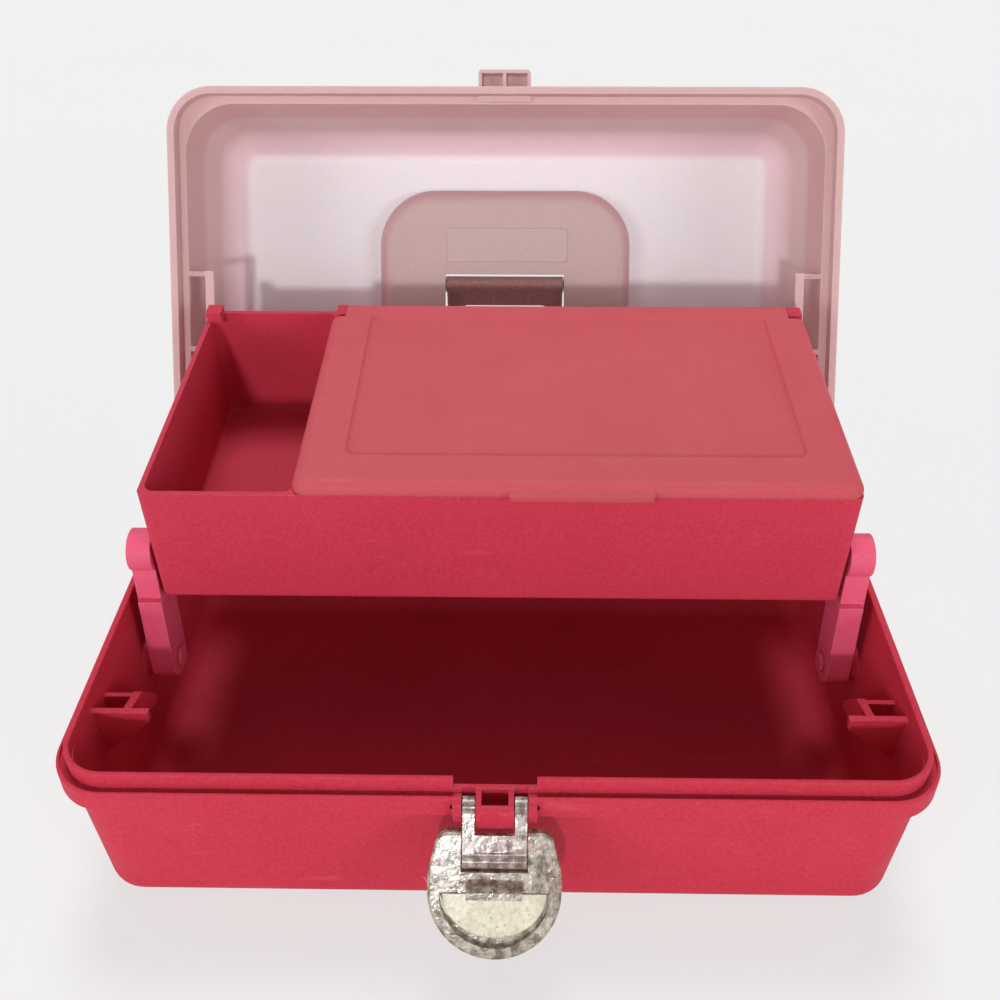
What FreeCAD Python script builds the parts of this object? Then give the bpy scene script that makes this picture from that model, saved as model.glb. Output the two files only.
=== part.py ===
"""Makeup storage case: a tub, a domed lid and a tray that swings out on arms as the lid opens.

Row frame: origin at the middle of the tub's underside, +X to the right, +Y to the hinges, +Z up.
The case is drawn open, with its tray swung out over the tub and its latch hanging.
"""

import FreeCAD, Part
import math
import os

import Sketcher

V = FreeCAD.Vector
TAU = 2 * math.pi
SMALL = 0.01

doc = FreeCAD.newDocument("makeup_case")
sheet = doc.addObject("Spreadsheet::Sheet", "Sizes")


class Size:
    """A length or angle: its expression in the sheet's names, and its value now."""

    def __init__(self, text, value):
        self.text = text
        self.value = value

    def _join(self, other, sign, value):
        text = other.text if isinstance(other, Size) else repr(other)
        return Size(f"({self.text} {sign} {text})", value)

    def __add__(self, other):
        return self._join(other, "+", self.value + number(other))

    def __sub__(self, other):
        return self._join(other, "-", self.value - number(other))

    def __mul__(self, other):
        return self._join(other, "*", self.value * number(other))

    def __truediv__(self, other):
        return self._join(other, "/", self.value / number(other))

    def __neg__(self):
        return Size(f"(0 - {self.text})", -self.value)


def number(size):
    return size.value if isinstance(size, Size) else float(size)


def sine(angle):
    return Size(f"sin({angle.text} * 1deg)", math.sin(math.radians(angle.value)))


def smaller(first, second):
    return Size(f"min({first.text}; {second.text})", min(first.value, second.value))


def from_line(point, start, end):
    """How far a point lies to the left of the line from start to end."""
    along, up = end[0] - start[0], end[1] - start[1]
    area = along * (point[1] - start[1]) - up * (point[0] - start[0])
    length = math.hypot(along.value, up.value)
    return area / Size(f"hypot({along.text}; {up.text})", length)


def cosine(angle):
    return Size(f"cos({angle.text} * 1deg)", math.cos(math.radians(angle.value)))


ZERO = Size("0", 0.0)

SIZES = [
    # the whole case
    ("case_width", 330.0),
    ("case_depth", 188.0),
    ("rim_corner", 22.0),
    ("lid_seam", 0.3),
    ("edge_round", 1.0),
    ("side_gap", 0.4),
    # tub
    ("tub_height", 76.0),
    ("tub_wall", 2.9),
    ("tub_step", 3.0),
    ("tub_lean", 5.0),
    ("tub_corner", 20.0),
    ("tub_foot_round", 12.0),
    ("tub_band", 10.0),
    ("rim_bead", 1.3),
    ("rim_groove", 1.6),
    ("tongue_inset", 3.9),
    ("tongue_height", 6.0),
    ("tongue_round", 0.6),
    # lid
    ("lid_height", 65.0),
    ("lid_wall", 1.8),
    ("lid_step", 5.5),
    ("lid_rear_step", 0.6),
    ("lid_lean", 7.5),
    ("lid_corner", 26.0),
    ("lid_roof_round", 18.0),
    ("lid_band", 9.0),
    ("lid_band_round", 0.6),
    ("skirt_thick", 3.6),
    ("groove_depth", 6.9),
    ("open_angle", 118.5),
    # lid hinge
    ("hinge_behind", 4.0),
    ("hinge_below", 1.0),
    ("knuckle_radius", 3.5),
    ("hinge_offset", 110.0),
    ("lid_knuckle_width", 23.2),
    ("tub_knuckle_width", 14.0),
    ("hinge_web", 5.5),
    ("hinge_pin_radius", 1.5),
    ("hinge_pin_length", 54.0),
    ("running_clearance", 0.06),
    ("seat_clearance", 0.02),
    # tray
    ("tray_room", 22.0),
    ("tray_depth", 136.0),
    ("tray_height", 58.3),
    ("tray_wall", 2.1),
    ("tray_floor", 2.0),
    ("tray_rear_lean", 3.5),
    ("tray_corner", 6.5),
    ("tray_front_corner", 2.8),
    ("tray_foot_round", 2.4),
    ("tray_floor_round", 2.5),
    ("tray_tilt", 3.6),
    ("partition_offset", 80.0),
    ("ear_width", 7.0),
    ("ear_depth", 9.0),
    ("ear_height", 4.4),
    ("lug_thick", 3.5),
    ("lug_depth", 8.0),
    ("lug_drop", 8.0),
    # swing linkage
    ("arm_pivot_y", 3.8),
    ("arm_pivot_z", 46.0),
    ("arm_length", 58.6),
    ("arm_open_lean", 4.5),
    ("arm_closed_lean", 52.0),
    ("arm_thick", 10.0),
    ("arm_step_in", 1.2),
    ("arm_head_radius", 9.0),
    ("arm_foot_radius", 9.0),
    ("arm_shank_front", 5.5),
    ("arm_shank_rear", 7.0),
    ("arm_step_height", 37.0),
    ("arm_rim", 2.0),
    ("arm_web", 2.4),
    ("arm_pin_radius", 2.5),
    ("arm_pin_head", 4.5),
    ("arm_pin_head_thick", 1.5),
    ("arm_boss_radius", 8.0),
    ("tray_socket_y", 9.2),
    ("tray_socket_z", 19.4),
    ("swing_pin_radius", 2.5),
    ("swing_reach", 1.4),
    ("swing_end_gap", 0.2),
    ("swing_lug_thick", 4.5),
    ("swing_lug_radius", 7.0),
    ("swing_lug_gap", 1.3),
    ("swing_bridge_rise", 8.0),
    ("swing_bridge_tall", 8.0),
    # tray rests moulded in the tub
    ("rest_below", 1.7),
    ("rest_behind_front", 39.5),
    ("rest_thick", 2.5),
    ("rest_reach", 28.3),
    ("rest_nose", 5.0),
    ("rest_drop", 24.3),
    ("rib_thick", 3.2),
    ("rib_length", 25.0),
    ("rib_dip", 18.0),
    ("rib_tall", 10.0),
    ("web_thick", 2.0),
    # brackets on the lid's inner sides
    ("bracket_start", 63.0),
    ("bracket_end", 103.0),
    ("bracket_rise", 1.5),
    ("bracket_tall", 9.5),
    ("bracket_thick", 4.2),
    ("bracket_leg", 2.5),
    # tray cover
    ("cover_overlap", 0.8),
    ("cover_side", 0.4),
    ("cover_front", 0.4),
    ("cover_rear", 3.4),
    ("cover_thick", 5.0),
    ("cover_skin", 2.2),
    ("cover_skirt", 2.0),
    ("cover_gap", 0.3),
    ("cover_lip_round", 4.6),
    ("cover_corner", 6.0),
    ("cover_axis_back", 6.6),
    ("cover_pin_radius", 1.2),
    ("cover_boss", 7.0),
    ("panel_side", 19.0),
    ("panel_front", 19.5),
    ("panel_rear", 8.0),
    ("panel_sink", 1.2),
    ("panel_bevel", 1.2),
    ("panel_corner", 5.0),
    ("thumb_left", 4.0),
    ("thumb_right", 61.0),
    ("thumb_out", 2.8),
    ("thumb_thick", 2.4),
    # handle and its recess
    ("pan_width", 132.0),
    ("pan_length", 106.0),
    ("pan_from_hinge", 94.0),
    ("pan_depth", 10.5),
    ("pan_corner", 28.0),
    ("pan_round", 8.0),
    ("window_width", 64.0),
    ("window_length", 20.0),
    ("window_gap", 0.8),
    ("handle_offset", 4.6),
    ("handle_lug", 6.0),
    ("handle_lug_radius", 4.2),
    ("handle_span", 100.0),
    ("handle_reach", 50.0),
    ("handle_thick", 9.0),
    ("handle_bar", 13.5),
    ("handle_arm", 10.0),
    ("handle_neck", 16.0),
    ("handle_round", 2.5),
    ("barrel_radius", 4.4),
    ("barrel_rise", 3.2),
    ("handle_pin_radius", 2.0),
    ("handle_pin_grip", 8.0),
    ("handle_hang", 28.5),
    # latch
    ("bay_half", 15.2),
    ("block_half", 6.9),
    ("block_out", 3.5),
    ("block_drop", 12.0),
    ("block_hole_half", 4.9),
    ("block_hole_depth", 8.0),
    ("block_wall", 1.0),
    ("slot_depth", 4.7),
    ("cheek_out", 2.4),
    ("cheek_drop", 9.0),
    ("latch_pivot_in", 0.9),
    ("latch_pivot_below", 4.5),
    ("link_arm", 4.4),
    ("link_thick", 4.0),
    ("link_radius", 3.2),
    ("link_length", 19.5),
    ("link_web", 9.0),
    ("link_web_thick", 3.0),
    ("latch_hang", 35.0),
    ("latch_pin_radius", 1.5),
    ("lever_width", 48.4),
    ("lever_shoulder", 41.0),
    ("lever_shoulder_round", 5.0),
    ("lever_above", 10.5),
    ("lever_below", 35.2),
    ("lever_flare", 7.0),
    ("lever_thick", 6.0),
    ("lever_rim", 4.2),
    ("lever_sink", 2.6),
    ("lever_pin_out", 17.4),
    ("hook_below", 8.4),
    ("hook_thick", 2.5),
    ("hook_reach", 6.8),
    ("hook_half", 10.0),
    ("catch_half", 12.8),
    ("catch_out", 9.0),
    ("catch_rise", 5.4),
    ("catch_tall", 9.0),
    ("catch_cell", 7.0),
    ("catch_wall", 1.7),
    ("catch_round", 2.0),
]

S = {}
for row, (name, value) in enumerate(SIZES, start=1):
    sheet.set(f"A{row}", name)
    sheet.set(f"B{row}", str(value))
    sheet.setAlias(f"B{row}", name)
    S[name] = Size(f"Sizes.{name}", value)
doc.recompute()


# ---------------------------------------------------------------- building blocks

PLANES = {"XY": "XY_Plane", "XZ": "XZ_Plane", "YZ": "YZ_Plane"}
USED_NAMES = {}


def fresh(name):
    """A name that no object of the document has yet."""
    USED_NAMES[name] = USED_NAMES.get(name, 0) + 1
    return name if USED_NAMES[name] == 1 else f"{name}_{USED_NAMES[name]}"


def bind(thing, prop, size):
    """Sets one property of an object, from the sheet where the size is a named one."""
    if isinstance(size, Size):
        thing.setExpression(prop, size.text)
    else:
        setattr(thing, prop, size)


def new_body(name):
    body = doc.addObject("PartDesign::Body", name)
    body.Label = name
    doc.recompute()
    return body


def body_plane(body, plane):
    return [f for f in body.Origin.OriginFeatures if f.Role == PLANES[plane]][0]


def new_sketch(body, plane, at=0.0):
    """A sketch on one of the body's own planes, moved by at along that plane's normal."""
    sketch = body.newObject("Sketcher::SketchObject", fresh(body.Name + "_sketch"))
    sketch.AttachmentSupport = [(body_plane(body, plane), "")]
    sketch.MapMode = "FlatFace"
    sketch.AttachmentOffset = FreeCAD.Placement(V(0, 0, number(at)), FreeCAD.Rotation())
    if isinstance(at, Size):
        sketch.setExpression("AttachmentOffset.Base.z", at.text)
    return sketch


def dimension(sketch, kind, places, size):
    """A driving constraint of a sketch, bound to the sheet."""
    index = sketch.addConstraint(Sketcher.Constraint(kind, *places, number(size)))
    if isinstance(size, Size):
        name = f"{kind}_{index}"
        sketch.renameConstraint(index, name)
        sketch.setExpression(f"Constraints.{name}", size.text)


def fix_point(sketch, element, point, place):
    """Dimensions a point of a sketch from the origin, both ways."""
    dimension(sketch, "DistanceX", (-1, 1, element, point), place[0])
    dimension(sketch, "DistanceY", (-1, 1, element, point), place[1])


def flat(place):
    return V(number(place[0]), number(place[1]), 0)


def outline(sketch, points, arcs=()):
    """A closed outline through points; the edges listed in arcs are half circles, ccw."""
    first = len(sketch.Geometry)
    count = len(points)
    for k in range(count):
        start, end = flat(points[k]), flat(points[(k + 1) % count])
        if k in arcs:
            middle, radius = (start + end) / 2, (end - start).Length / 2
            begin = math.atan2(start.y - middle.y, start.x - middle.x)
            circle = Part.Circle(middle, V(0, 0, 1), radius)
            sketch.addGeometry(Part.ArcOfCircle(circle, begin, begin + math.pi))
        else:
            sketch.addGeometry(Part.LineSegment(start, end))
    for k in range(count):
        after = first + (k + 1) % count
        sketch.addConstraint(Sketcher.Constraint("Coincident", first + k, 2, after, 1))
    for k, place in enumerate(points):
        fix_point(sketch, first + k, 1, place)
    for k in arcs:
        a, b = points[k], points[(k + 1) % count]
        if near(a[1], b[1]):
            dimension(sketch, "DistanceY", (-1, 1, first + k, 3), a[1])
        else:
            dimension(sketch, "DistanceX", (-1, 1, first + k, 3), a[0])
    return sketch


def rectangle(sketch, low, high):
    return outline(sketch, [low, (high[0], low[1]), high, (low[0], high[1])])


def round_rectangle(sketch, wide, tall, corner, centre=None):
    """A rectangle with round corners about centre."""
    centre = centre or (ZERO, ZERO)
    left, right = centre[0] - wide / 2, centre[0] + wide / 2
    low, high = centre[1] - tall / 2, centre[1] + tall / 2
    first = len(sketch.Geometry)
    starts = [
        ((left + corner, low), (right - corner, low)),
        ((right, low + corner), (right, high - corner)),
        ((right - corner, high), (left + corner, high)),
        ((left, high - corner), (left, low + corner)),
    ]
    middles = [
        (right - corner, low + corner),
        (right - corner, high - corner),
        (left + corner, high - corner),
        (left + corner, low + corner),
    ]
    for start, end in starts:
        sketch.addGeometry(Part.LineSegment(flat(start), flat(end)))
    for k, middle in enumerate(middles):
        circle = Part.Circle(flat(middle), V(0, 0, 1), number(corner))
        sketch.addGeometry(Part.ArcOfCircle(circle, (k - 1) * TAU / 4, k * TAU / 4))
    for k in range(4):
        line, arc, after = first + k, first + 4 + k, first + (k + 1) % 4
        sketch.addConstraint(Sketcher.Constraint("Coincident", line, 2, arc, 1))
        sketch.addConstraint(Sketcher.Constraint("Coincident", arc, 2, after, 1))
    for k, (start, end) in enumerate(starts):
        fix_point(sketch, first + k, 1, start)
        fix_point(sketch, first + k, 2, end)
        dimension(sketch, "Radius", (first + 4 + k,), corner)
    return sketch


def circle(sketch, centre, radius):
    index = sketch.addGeometry(Part.Circle(flat(centre), V(0, 0, 1), number(radius)))
    fix_point(sketch, index, 3, centre)
    dimension(sketch, "Radius", (index,), radius)
    return sketch


def set_draft(feature, length, lean):
    """Widens (lean over 0) or narrows a pad or a pocket by lean on each side over its length."""
    if lean is not None:
        feature.TaperAngle = math.degrees(math.atan(number(lean) / number(length)))
        feature.setExpression("TaperAngle", f"atan({(lean / length).text})")


def pad(body, sketch, length, middle=False, back=False, lean=None):
    feature = body.newObject("PartDesign::Pad", fresh(body.Name + "_pad"))
    feature.Profile = sketch
    bind(feature, "Length", length)
    set_draft(feature, length, lean)
    if middle:
        feature.SideType = "Symmetric"
    feature.Reversed = back
    sketch.Visibility = False
    doc.recompute()
    return feature


def pocket(body, sketch, length, middle=False, back=False, lean=None):
    """Cuts a sketch's outline away and makes sure that it cut something."""
    before = body.Tip.Shape.Volume
    feature = body.newObject("PartDesign::Pocket", fresh(body.Name + "_cut"))
    feature.Profile = sketch
    bind(feature, "Length", length)
    set_draft(feature, length, lean)
    if middle:
        feature.SideType = "Symmetric"
    feature.Reversed = back
    sketch.Visibility = False
    doc.recompute()
    if not feature.Shape.Volume < before - SMALL:
        raise RuntimeError(f"{feature.Name} cuts nothing")
    return feature


def edges(body, test):
    """The names of the body's edges whose box passes a test."""
    found = enumerate(body.Tip.Shape.Edges, start=1)
    return [f"Edge{k}" for k, edge in found if test(edge.BoundBox)]


def round_edges(body, names, radius):
    if not names:
        raise RuntimeError(f"no edge to round in {body.Name}")
    base = body.Tip
    feature = body.newObject("PartDesign::Fillet", fresh(body.Name + "_round"))
    feature.Base = (base, names)
    bind(feature, "Radius", radius)
    doc.recompute()
    return feature


def mirror(body, features):
    """The same features on the other side of the case."""
    feature = body.newObject("PartDesign::Mirrored", fresh(body.Name + "_mirror"))
    feature.Originals = features
    feature.MirrorPlane = (body_plane(body, "YZ"), [""])
    body.Tip = feature
    doc.recompute()
    return feature


def near(a, b):
    return abs(number(a) - number(b)) < SMALL


def level(box, height):
    """Whether an edge or face lies in the plane at a height."""
    return near(box.ZMin, height) and near(box.ZMax, height)


def place(thing, origin, turn=None):
    """Puts a piece at origin (y, z), turned about the case's X axis."""
    y, z = origin
    angle = turn or ZERO
    back = number(angle) < 0
    amount = -angle if back else angle
    axis = V(-1, 0, 0) if back else V(1, 0, 0)
    rotation = FreeCAD.Rotation(axis, number(amount))
    thing.Placement = FreeCAD.Placement(V(0, number(y), number(z)), rotation)
    thing.setExpression("Placement.Base.y", y.text)
    thing.setExpression("Placement.Base.z", z.text)
    if turn is not None:
        thing.setExpression("Placement.Rotation.Angle", f"{amount.text} * 1deg")
    doc.recompute()


def rod(start, length, centre, radius):
    """A round pin along X from start, at centre (y, z)."""
    pin = doc.addObject("Part::Cylinder", fresh("rod"))
    rotation = FreeCAD.Rotation(V(0, 1, 0), 90)
    where = V(number(start), number(centre[0]), number(centre[1]))
    pin.Placement = FreeCAD.Placement(where, rotation)
    pin.setExpression("Placement.Base.x", start.text)
    pin.setExpression("Placement.Base.y", centre[0].text)
    pin.setExpression("Placement.Base.z", centre[1].text)
    bind(pin, "Radius", radius)
    bind(pin, "Height", length)
    return pin


def fused(name, pieces):
    piece = doc.addObject("Part::MultiFuse", name)
    piece.Label = name
    piece.Shapes = pieces
    doc.recompute()
    return piece


def grouped(name, pieces):
    piece = doc.addObject("Part::Compound", name)
    piece.Label = name
    piece.Links = pieces
    doc.recompute()
    return piece


def side_rod(side, inner, outer, centre, radius):
    """A round pin on the left (-1) or right (1), from inner to outer, both from the middle."""
    start = inner if side > 0 else -outer
    return rod(start, outer - inner, centre, radius)


# ---------------------------------------------------------------- places the pieces share


def turned(point, angle):
    """A point (y, z) turned by an angle about +X."""
    y, z = point
    return (cosine(angle) * y - sine(angle) * z, sine(angle) * y + cosine(angle) * z)


def plus(a, b):
    return (a[0] + b[0], a[1] + b[1])


def minus(a, b):
    return (a[0] - b[0], a[1] - b[1])


WIDTH, DEPTH = S["case_width"], S["case_depth"]
HALF_WIDTH, HALF_DEPTH = WIDTH / 2, DEPTH / 2
RIM = S["tub_height"]
HINGE = (HALF_DEPTH + S["hinge_behind"], RIM - S["hinge_below"])
SWING = S["open_angle"] + S["tray_tilt"]


def lean_forward(angle):
    """The arm's top pivot, seen from its base pivot, at a lean towards the front."""
    return turned((ZERO, S["arm_length"]), angle)


# The tray's place with the lid open and shut follows from the arm, and the pivot that
# hangs it from the lid is the one point of the tray that both places put on the same
# point of the lid.
ARM_PIVOT = (S["arm_pivot_y"], S["arm_pivot_z"])
SOCKET = (S["tray_socket_y"], S["tray_socket_z"])
ARM_TOP = plus(ARM_PIVOT, lean_forward(-S["arm_open_lean"]))
ARM_TOP_SHUT = plus(ARM_PIVOT, lean_forward(S["arm_closed_lean"]))
TRAY = minus(ARM_TOP, turned(SOCKET, S["tray_tilt"]))
TRAY_SHUT = minus(ARM_TOP_SHUT, SOCKET)
TRAY_CARRIED = plus(HINGE, turned(minus(TRAY, HINGE), S["open_angle"]))
MISS = minus(TRAY_SHUT, TRAY_CARRIED)
SPREAD = (cosine(SWING) - 1.0) * -2.0
LIFT = (
    ((cosine(SWING) - 1.0) * MISS[0] + sine(SWING) * MISS[1]) / SPREAD,
    ((cosine(SWING) - 1.0) * MISS[1] - sine(SWING) * MISS[0]) / SPREAD,
)
LIFT_PIVOT = plus(TRAY, turned(LIFT, S["tray_tilt"]))
LIFT_ON_LID = turned(minus(LIFT_PIVOT, HINGE), S["open_angle"])

LATCH_PIVOT = (S["latch_pivot_in"] - HALF_DEPTH, RIM - S["latch_pivot_below"])
SMALL_LIFT = S["edge_round"]
SMALL_GAP = S["lid_seam"]
TRAY_SIDE = HALF_WIDTH - S["tray_room"]
ARM_INNER = TRAY_SIDE + S["side_gap"]


# ---------------------------------------------------------------- the tub


def ring(body, plane_at, outer, inner, length, corner_out, corner_in, centre=None):
    """A flat band between two round rectangles, standing on the plane at plane_at."""
    sketch = new_sketch(body, "XY", plane_at)
    round_rectangle(sketch, outer[0], outer[1], corner_out, centre)
    round_rectangle(sketch, inner[0], inner[1], corner_in, centre)
    return pad(body, sketch, length)


def inset(amount):
    """The case's outline, drawn in by an amount all round."""
    return (WIDTH - amount * 2.0, DEPTH - amount * 2.0)


def wall_middle(height):
    """How far out the middle of the tub's side wall stands at a height."""
    lean = S["tub_lean"] * (RIM - height) / RIM
    return HALF_WIDTH - S["tub_step"] - S["tub_wall"] / 2 - lean


def make_tub():
    tub = new_body("base_tub")
    step, wall, lean = S["tub_step"], S["tub_wall"], S["tub_lean"]
    foot = new_sketch(tub, "XY")
    round_rectangle(foot, *inset(step + lean), S["tub_corner"] - lean)
    pad(tub, foot, RIM, lean=lean)
    cavity = new_sketch(tub, "XY", RIM)
    round_rectangle(cavity, *inset(step + wall), S["tub_corner"] - wall)
    deep = RIM - wall
    pocket(tub, cavity, deep, lean=-(lean * deep / RIM))
    round_edges(tub, edges(tub, lambda box: level(box, wall)), S["tub_foot_round"] - wall)
    round_edges(tub, edges(tub, lambda box: level(box, ZERO)), S["tub_foot_round"])

    corner = S["rim_corner"]
    behind = step + wall / 2
    band_at = RIM - S["tub_band"]
    ring(tub, band_at, inset(ZERO), inset(behind), S["tub_band"], corner, corner - behind)
    round_edges(tub, edges(tub, lambda box: on_outline(box, band_at)), S["edge_round"])
    round_edges(tub, edges(tub, lambda box: on_outline(box, RIM)), S["edge_round"])
    out, within = S["tongue_inset"], step + wall
    bead = S["rim_bead"]
    groove = new_sketch(tub, "XY", RIM)
    round_rectangle(groove, *inset(bead), corner - bead)
    round_rectangle(groove, *inset(out), corner - out)
    pocket(tub, groove, S["rim_groove"])
    ring(tub, RIM, inset(out), inset(within), S["tongue_height"], corner - out, corner - within)
    tongue_top = RIM + S["tongue_height"]
    round_edges(tub, edges(tub, lambda box: level(box, tongue_top)), S["tongue_round"])

    make_latch_bay(tub)
    make_rests(tub)
    make_tub_knuckles(tub)
    return tub


def on_outline(box, height, middle=None):
    """Whether an edge at a height lies on the case's outermost outline."""
    wide = near(max(-box.XMin, box.XMax), HALF_WIDTH)
    centre = number(middle or ZERO)
    deep = near(max(centre - box.YMin, box.YMax - centre), HALF_DEPTH)
    return level(box, height) and (wide or deep)


def make_latch_bay(tub):
    """The gap in the tongue, the block and cheeks that carry the latch, and its two slots."""
    bay, half = S["bay_half"], S["block_half"]
    front = ZERO - HALF_DEPTH
    gap = new_sketch(tub, "XY", RIM + S["tongue_height"])
    behind = front + S["tub_step"] + S["tub_wall"] * 1.5
    rectangle(gap, (-bay, front), (bay, behind))
    pocket(tub, gap, S["tongue_height"] - S["edge_round"])

    slot_out = half + S["side_gap"] * 2.0 + S["link_arm"]
    cheek = new_sketch(tub, "XY", RIM - S["edge_round"])
    reach = front - S["cheek_out"]
    rectangle(cheek, (slot_out - S["side_gap"], reach), (bay, front + S["slot_depth"]))
    rectangle(cheek, (-bay, reach), (S["side_gap"] - slot_out, front + S["slot_depth"]))
    pad(tub, cheek, S["cheek_drop"], back=True)
    block = new_sketch(tub, "XY", RIM)
    rectangle(block, (-half, front - S["block_out"]), (half, front + S["tub_step"] + S["tub_wall"] / 2))
    pad(tub, block, S["block_drop"], back=True)

    slots = new_sketch(tub, "XY", RIM + SMALL_LIFT)
    deep = front + S["slot_depth"]
    ahead = front - S["block_out"] * 2.0
    rectangle(slots, (half, ahead), (slot_out, deep))
    rectangle(slots, (-slot_out, ahead), (-half, deep))
    pocket(tub, slots, S["block_drop"] + SMALL_LIFT)

    hole = new_sketch(tub, "XY", RIM)
    side = S["block_hole_half"]
    hole_front = front - S["block_out"] + S["block_wall"]
    rectangle(hole, (-side, hole_front), (side, front + S["slot_depth"]))
    pocket(tub, hole, S["block_hole_depth"])

    pivot = new_sketch(tub, "YZ")
    circle(pivot, LATCH_PIVOT, S["latch_pin_radius"] + S["seat_clearance"])
    pocket(tub, pivot, (bay + S["edge_round"]) * 2.0, middle=True)


# Points of the rib's falling crest, as shares of its length behind the plate and of its dip.
RIB_CREST = ((0.75, 0.36), (0.5, 0.76))
# The two webs between the rib and the wall, in the same shares.
RIB_WEBS = ((0.5, 0.72), (0.94, 0.03))


def make_rests(tub):
    """The rests that stop the shut tray, and the arms' pivot bosses, on both sides."""
    top = RIM - S["rest_below"]
    plate_front = S["rest_behind_front"] - HALF_DEPTH
    plate_rear = plate_front + S["rest_thick"]
    inboard = HALF_WIDTH - S["rest_reach"]
    plate = new_sketch(tub, "XZ", -plate_front)
    low = top - S["rest_drop"]
    outline(
        plate,
        [
            (inboard, top - S["rest_nose"]),
            (wall_middle(low), low),
            (wall_middle(top), top),
            (inboard, top),
        ],
    )
    features = [pad(tub, plate, S["rest_thick"], back=True)]

    rib = new_sketch(tub, "YZ", ARM_INNER + S["side_gap"])
    rib_rear = plate_rear - S["web_thick"] / 2 + S["rib_length"]
    dip = top - S["rib_dip"]
    crest = [(plate_rear + S["rib_length"] * a, dip + S["rib_dip"] * b) for a, b in RIB_CREST]
    in_plate = plate_front + S["rest_thick"] / 2
    outline(
        rib,
        [
            (in_plate, top - S["rib_tall"]),
            (rib_rear, dip - S["rib_tall"] / 2),
            (rib_rear, dip),
            *crest,
            (in_plate, top),
        ],
    )
    features.append(pad(tub, rib, S["rib_thick"]))

    for share, rise in RIB_WEBS:
        web_front = plate_rear + S["rib_length"] * share - S["web_thick"]
        web = new_sketch(tub, "XZ", -web_front)
        crest = dip + S["rib_dip"] * rise
        foot = crest - S["rib_tall"]
        outline(
            web,
            [
                (ARM_INNER + S["side_gap"] + S["rib_thick"] / 2, crest - S["rib_tall"] / 3),
                (wall_middle(foot), foot),
                (wall_middle(crest), crest),
                (ARM_INNER + S["side_gap"] + S["rib_thick"] / 2, crest),
            ],
        )
        features.append(pad(tub, web, S["web_thick"], back=True))

    boss_face = ARM_INNER + S["arm_thick"] + S["side_gap"]
    boss = new_sketch(tub, "YZ", boss_face)
    circle(boss, ARM_PIVOT, S["arm_boss_radius"])
    features.append(pad(tub, boss, wall_middle(S["arm_pivot_z"]) - boss_face))
    bore = new_sketch(tub, "YZ", boss_face)
    circle(bore, ARM_PIVOT, S["arm_pin_radius"] + S["seat_clearance"])
    features.append(pocket(tub, bore, wall_middle(S["arm_pivot_z"]) - boss_face, back=True))
    mirror(tub, features)


# Where a hinge web leaves its knuckle's round face, in radii out and down from the axis.
WEB_LEAVES = (0.9, 0.4)


def make_tub_knuckles(tub):
    features = []
    radius = S["knuckle_radius"]
    half = S["lid_knuckle_width"] / 2 + S["side_gap"]
    inner = S["hinge_offset"] - half - S["tub_knuckle_width"]
    outer = S["hinge_offset"] + half
    for start in (inner, outer):
        knuckle = new_sketch(tub, "YZ", start)
        circle(knuckle, HINGE, S["knuckle_radius"])
        features.append(pad(tub, knuckle, S["tub_knuckle_width"]))
        web = new_sketch(tub, "YZ", start)
        back = HALF_DEPTH - S["edge_round"]
        outline(
            web,
            [
                (back, HINGE[1] - S["hinge_web"]),
                (HALF_DEPTH + S["edge_round"], HINGE[1] - S["hinge_web"]),
                (HINGE[0] + radius * WEB_LEAVES[0], HINGE[1] - radius * WEB_LEAVES[1]),
                (HINGE[0], HINGE[1]),
                (back, HINGE[1]),
            ],
        )
        features.append(pad(tub, web, S["tub_knuckle_width"]))
    bore = new_sketch(tub, "YZ", inner)
    circle(bore, HINGE, S["hinge_pin_radius"] + S["seat_clearance"])
    length = (half + S["tub_knuckle_width"]) * 2.0
    features.append(pocket(tub, bore, length, back=True))
    mirror(tub, features)


# ---------------------------------------------------------------- the lid

# The lid is drawn shut, from the hinge's axis, and its Placement opens it.
LID_MIDDLE = (ZERO, ZERO - HALF_DEPTH - S["hinge_behind"])
LID_FRONT = LID_MIDDLE[1] - HALF_DEPTH
LID_RIM = S["lid_seam"] + S["hinge_below"]
LID_TOP = LID_RIM + S["lid_height"]
PAN_FLOOR = LID_TOP - S["pan_depth"]
PAN_MIDDLE = ZERO - S["pan_from_hinge"]
HANDLE_ON_LID = (PAN_MIDDLE - S["handle_offset"], PAN_FLOOR + S["barrel_rise"])
OPEN = -S["open_angle"]


def lid_wall_middle(height):
    """How far out the middle of the lid's side wall stands at a height of the lid's own."""
    dome_at = LID_RIM + S["groove_depth"]
    lean = S["lid_lean"] * (height - dome_at) / (LID_TOP - dome_at)
    return HALF_WIDTH - S["lid_step"] - S["lid_wall"] / 2 - lean


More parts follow.
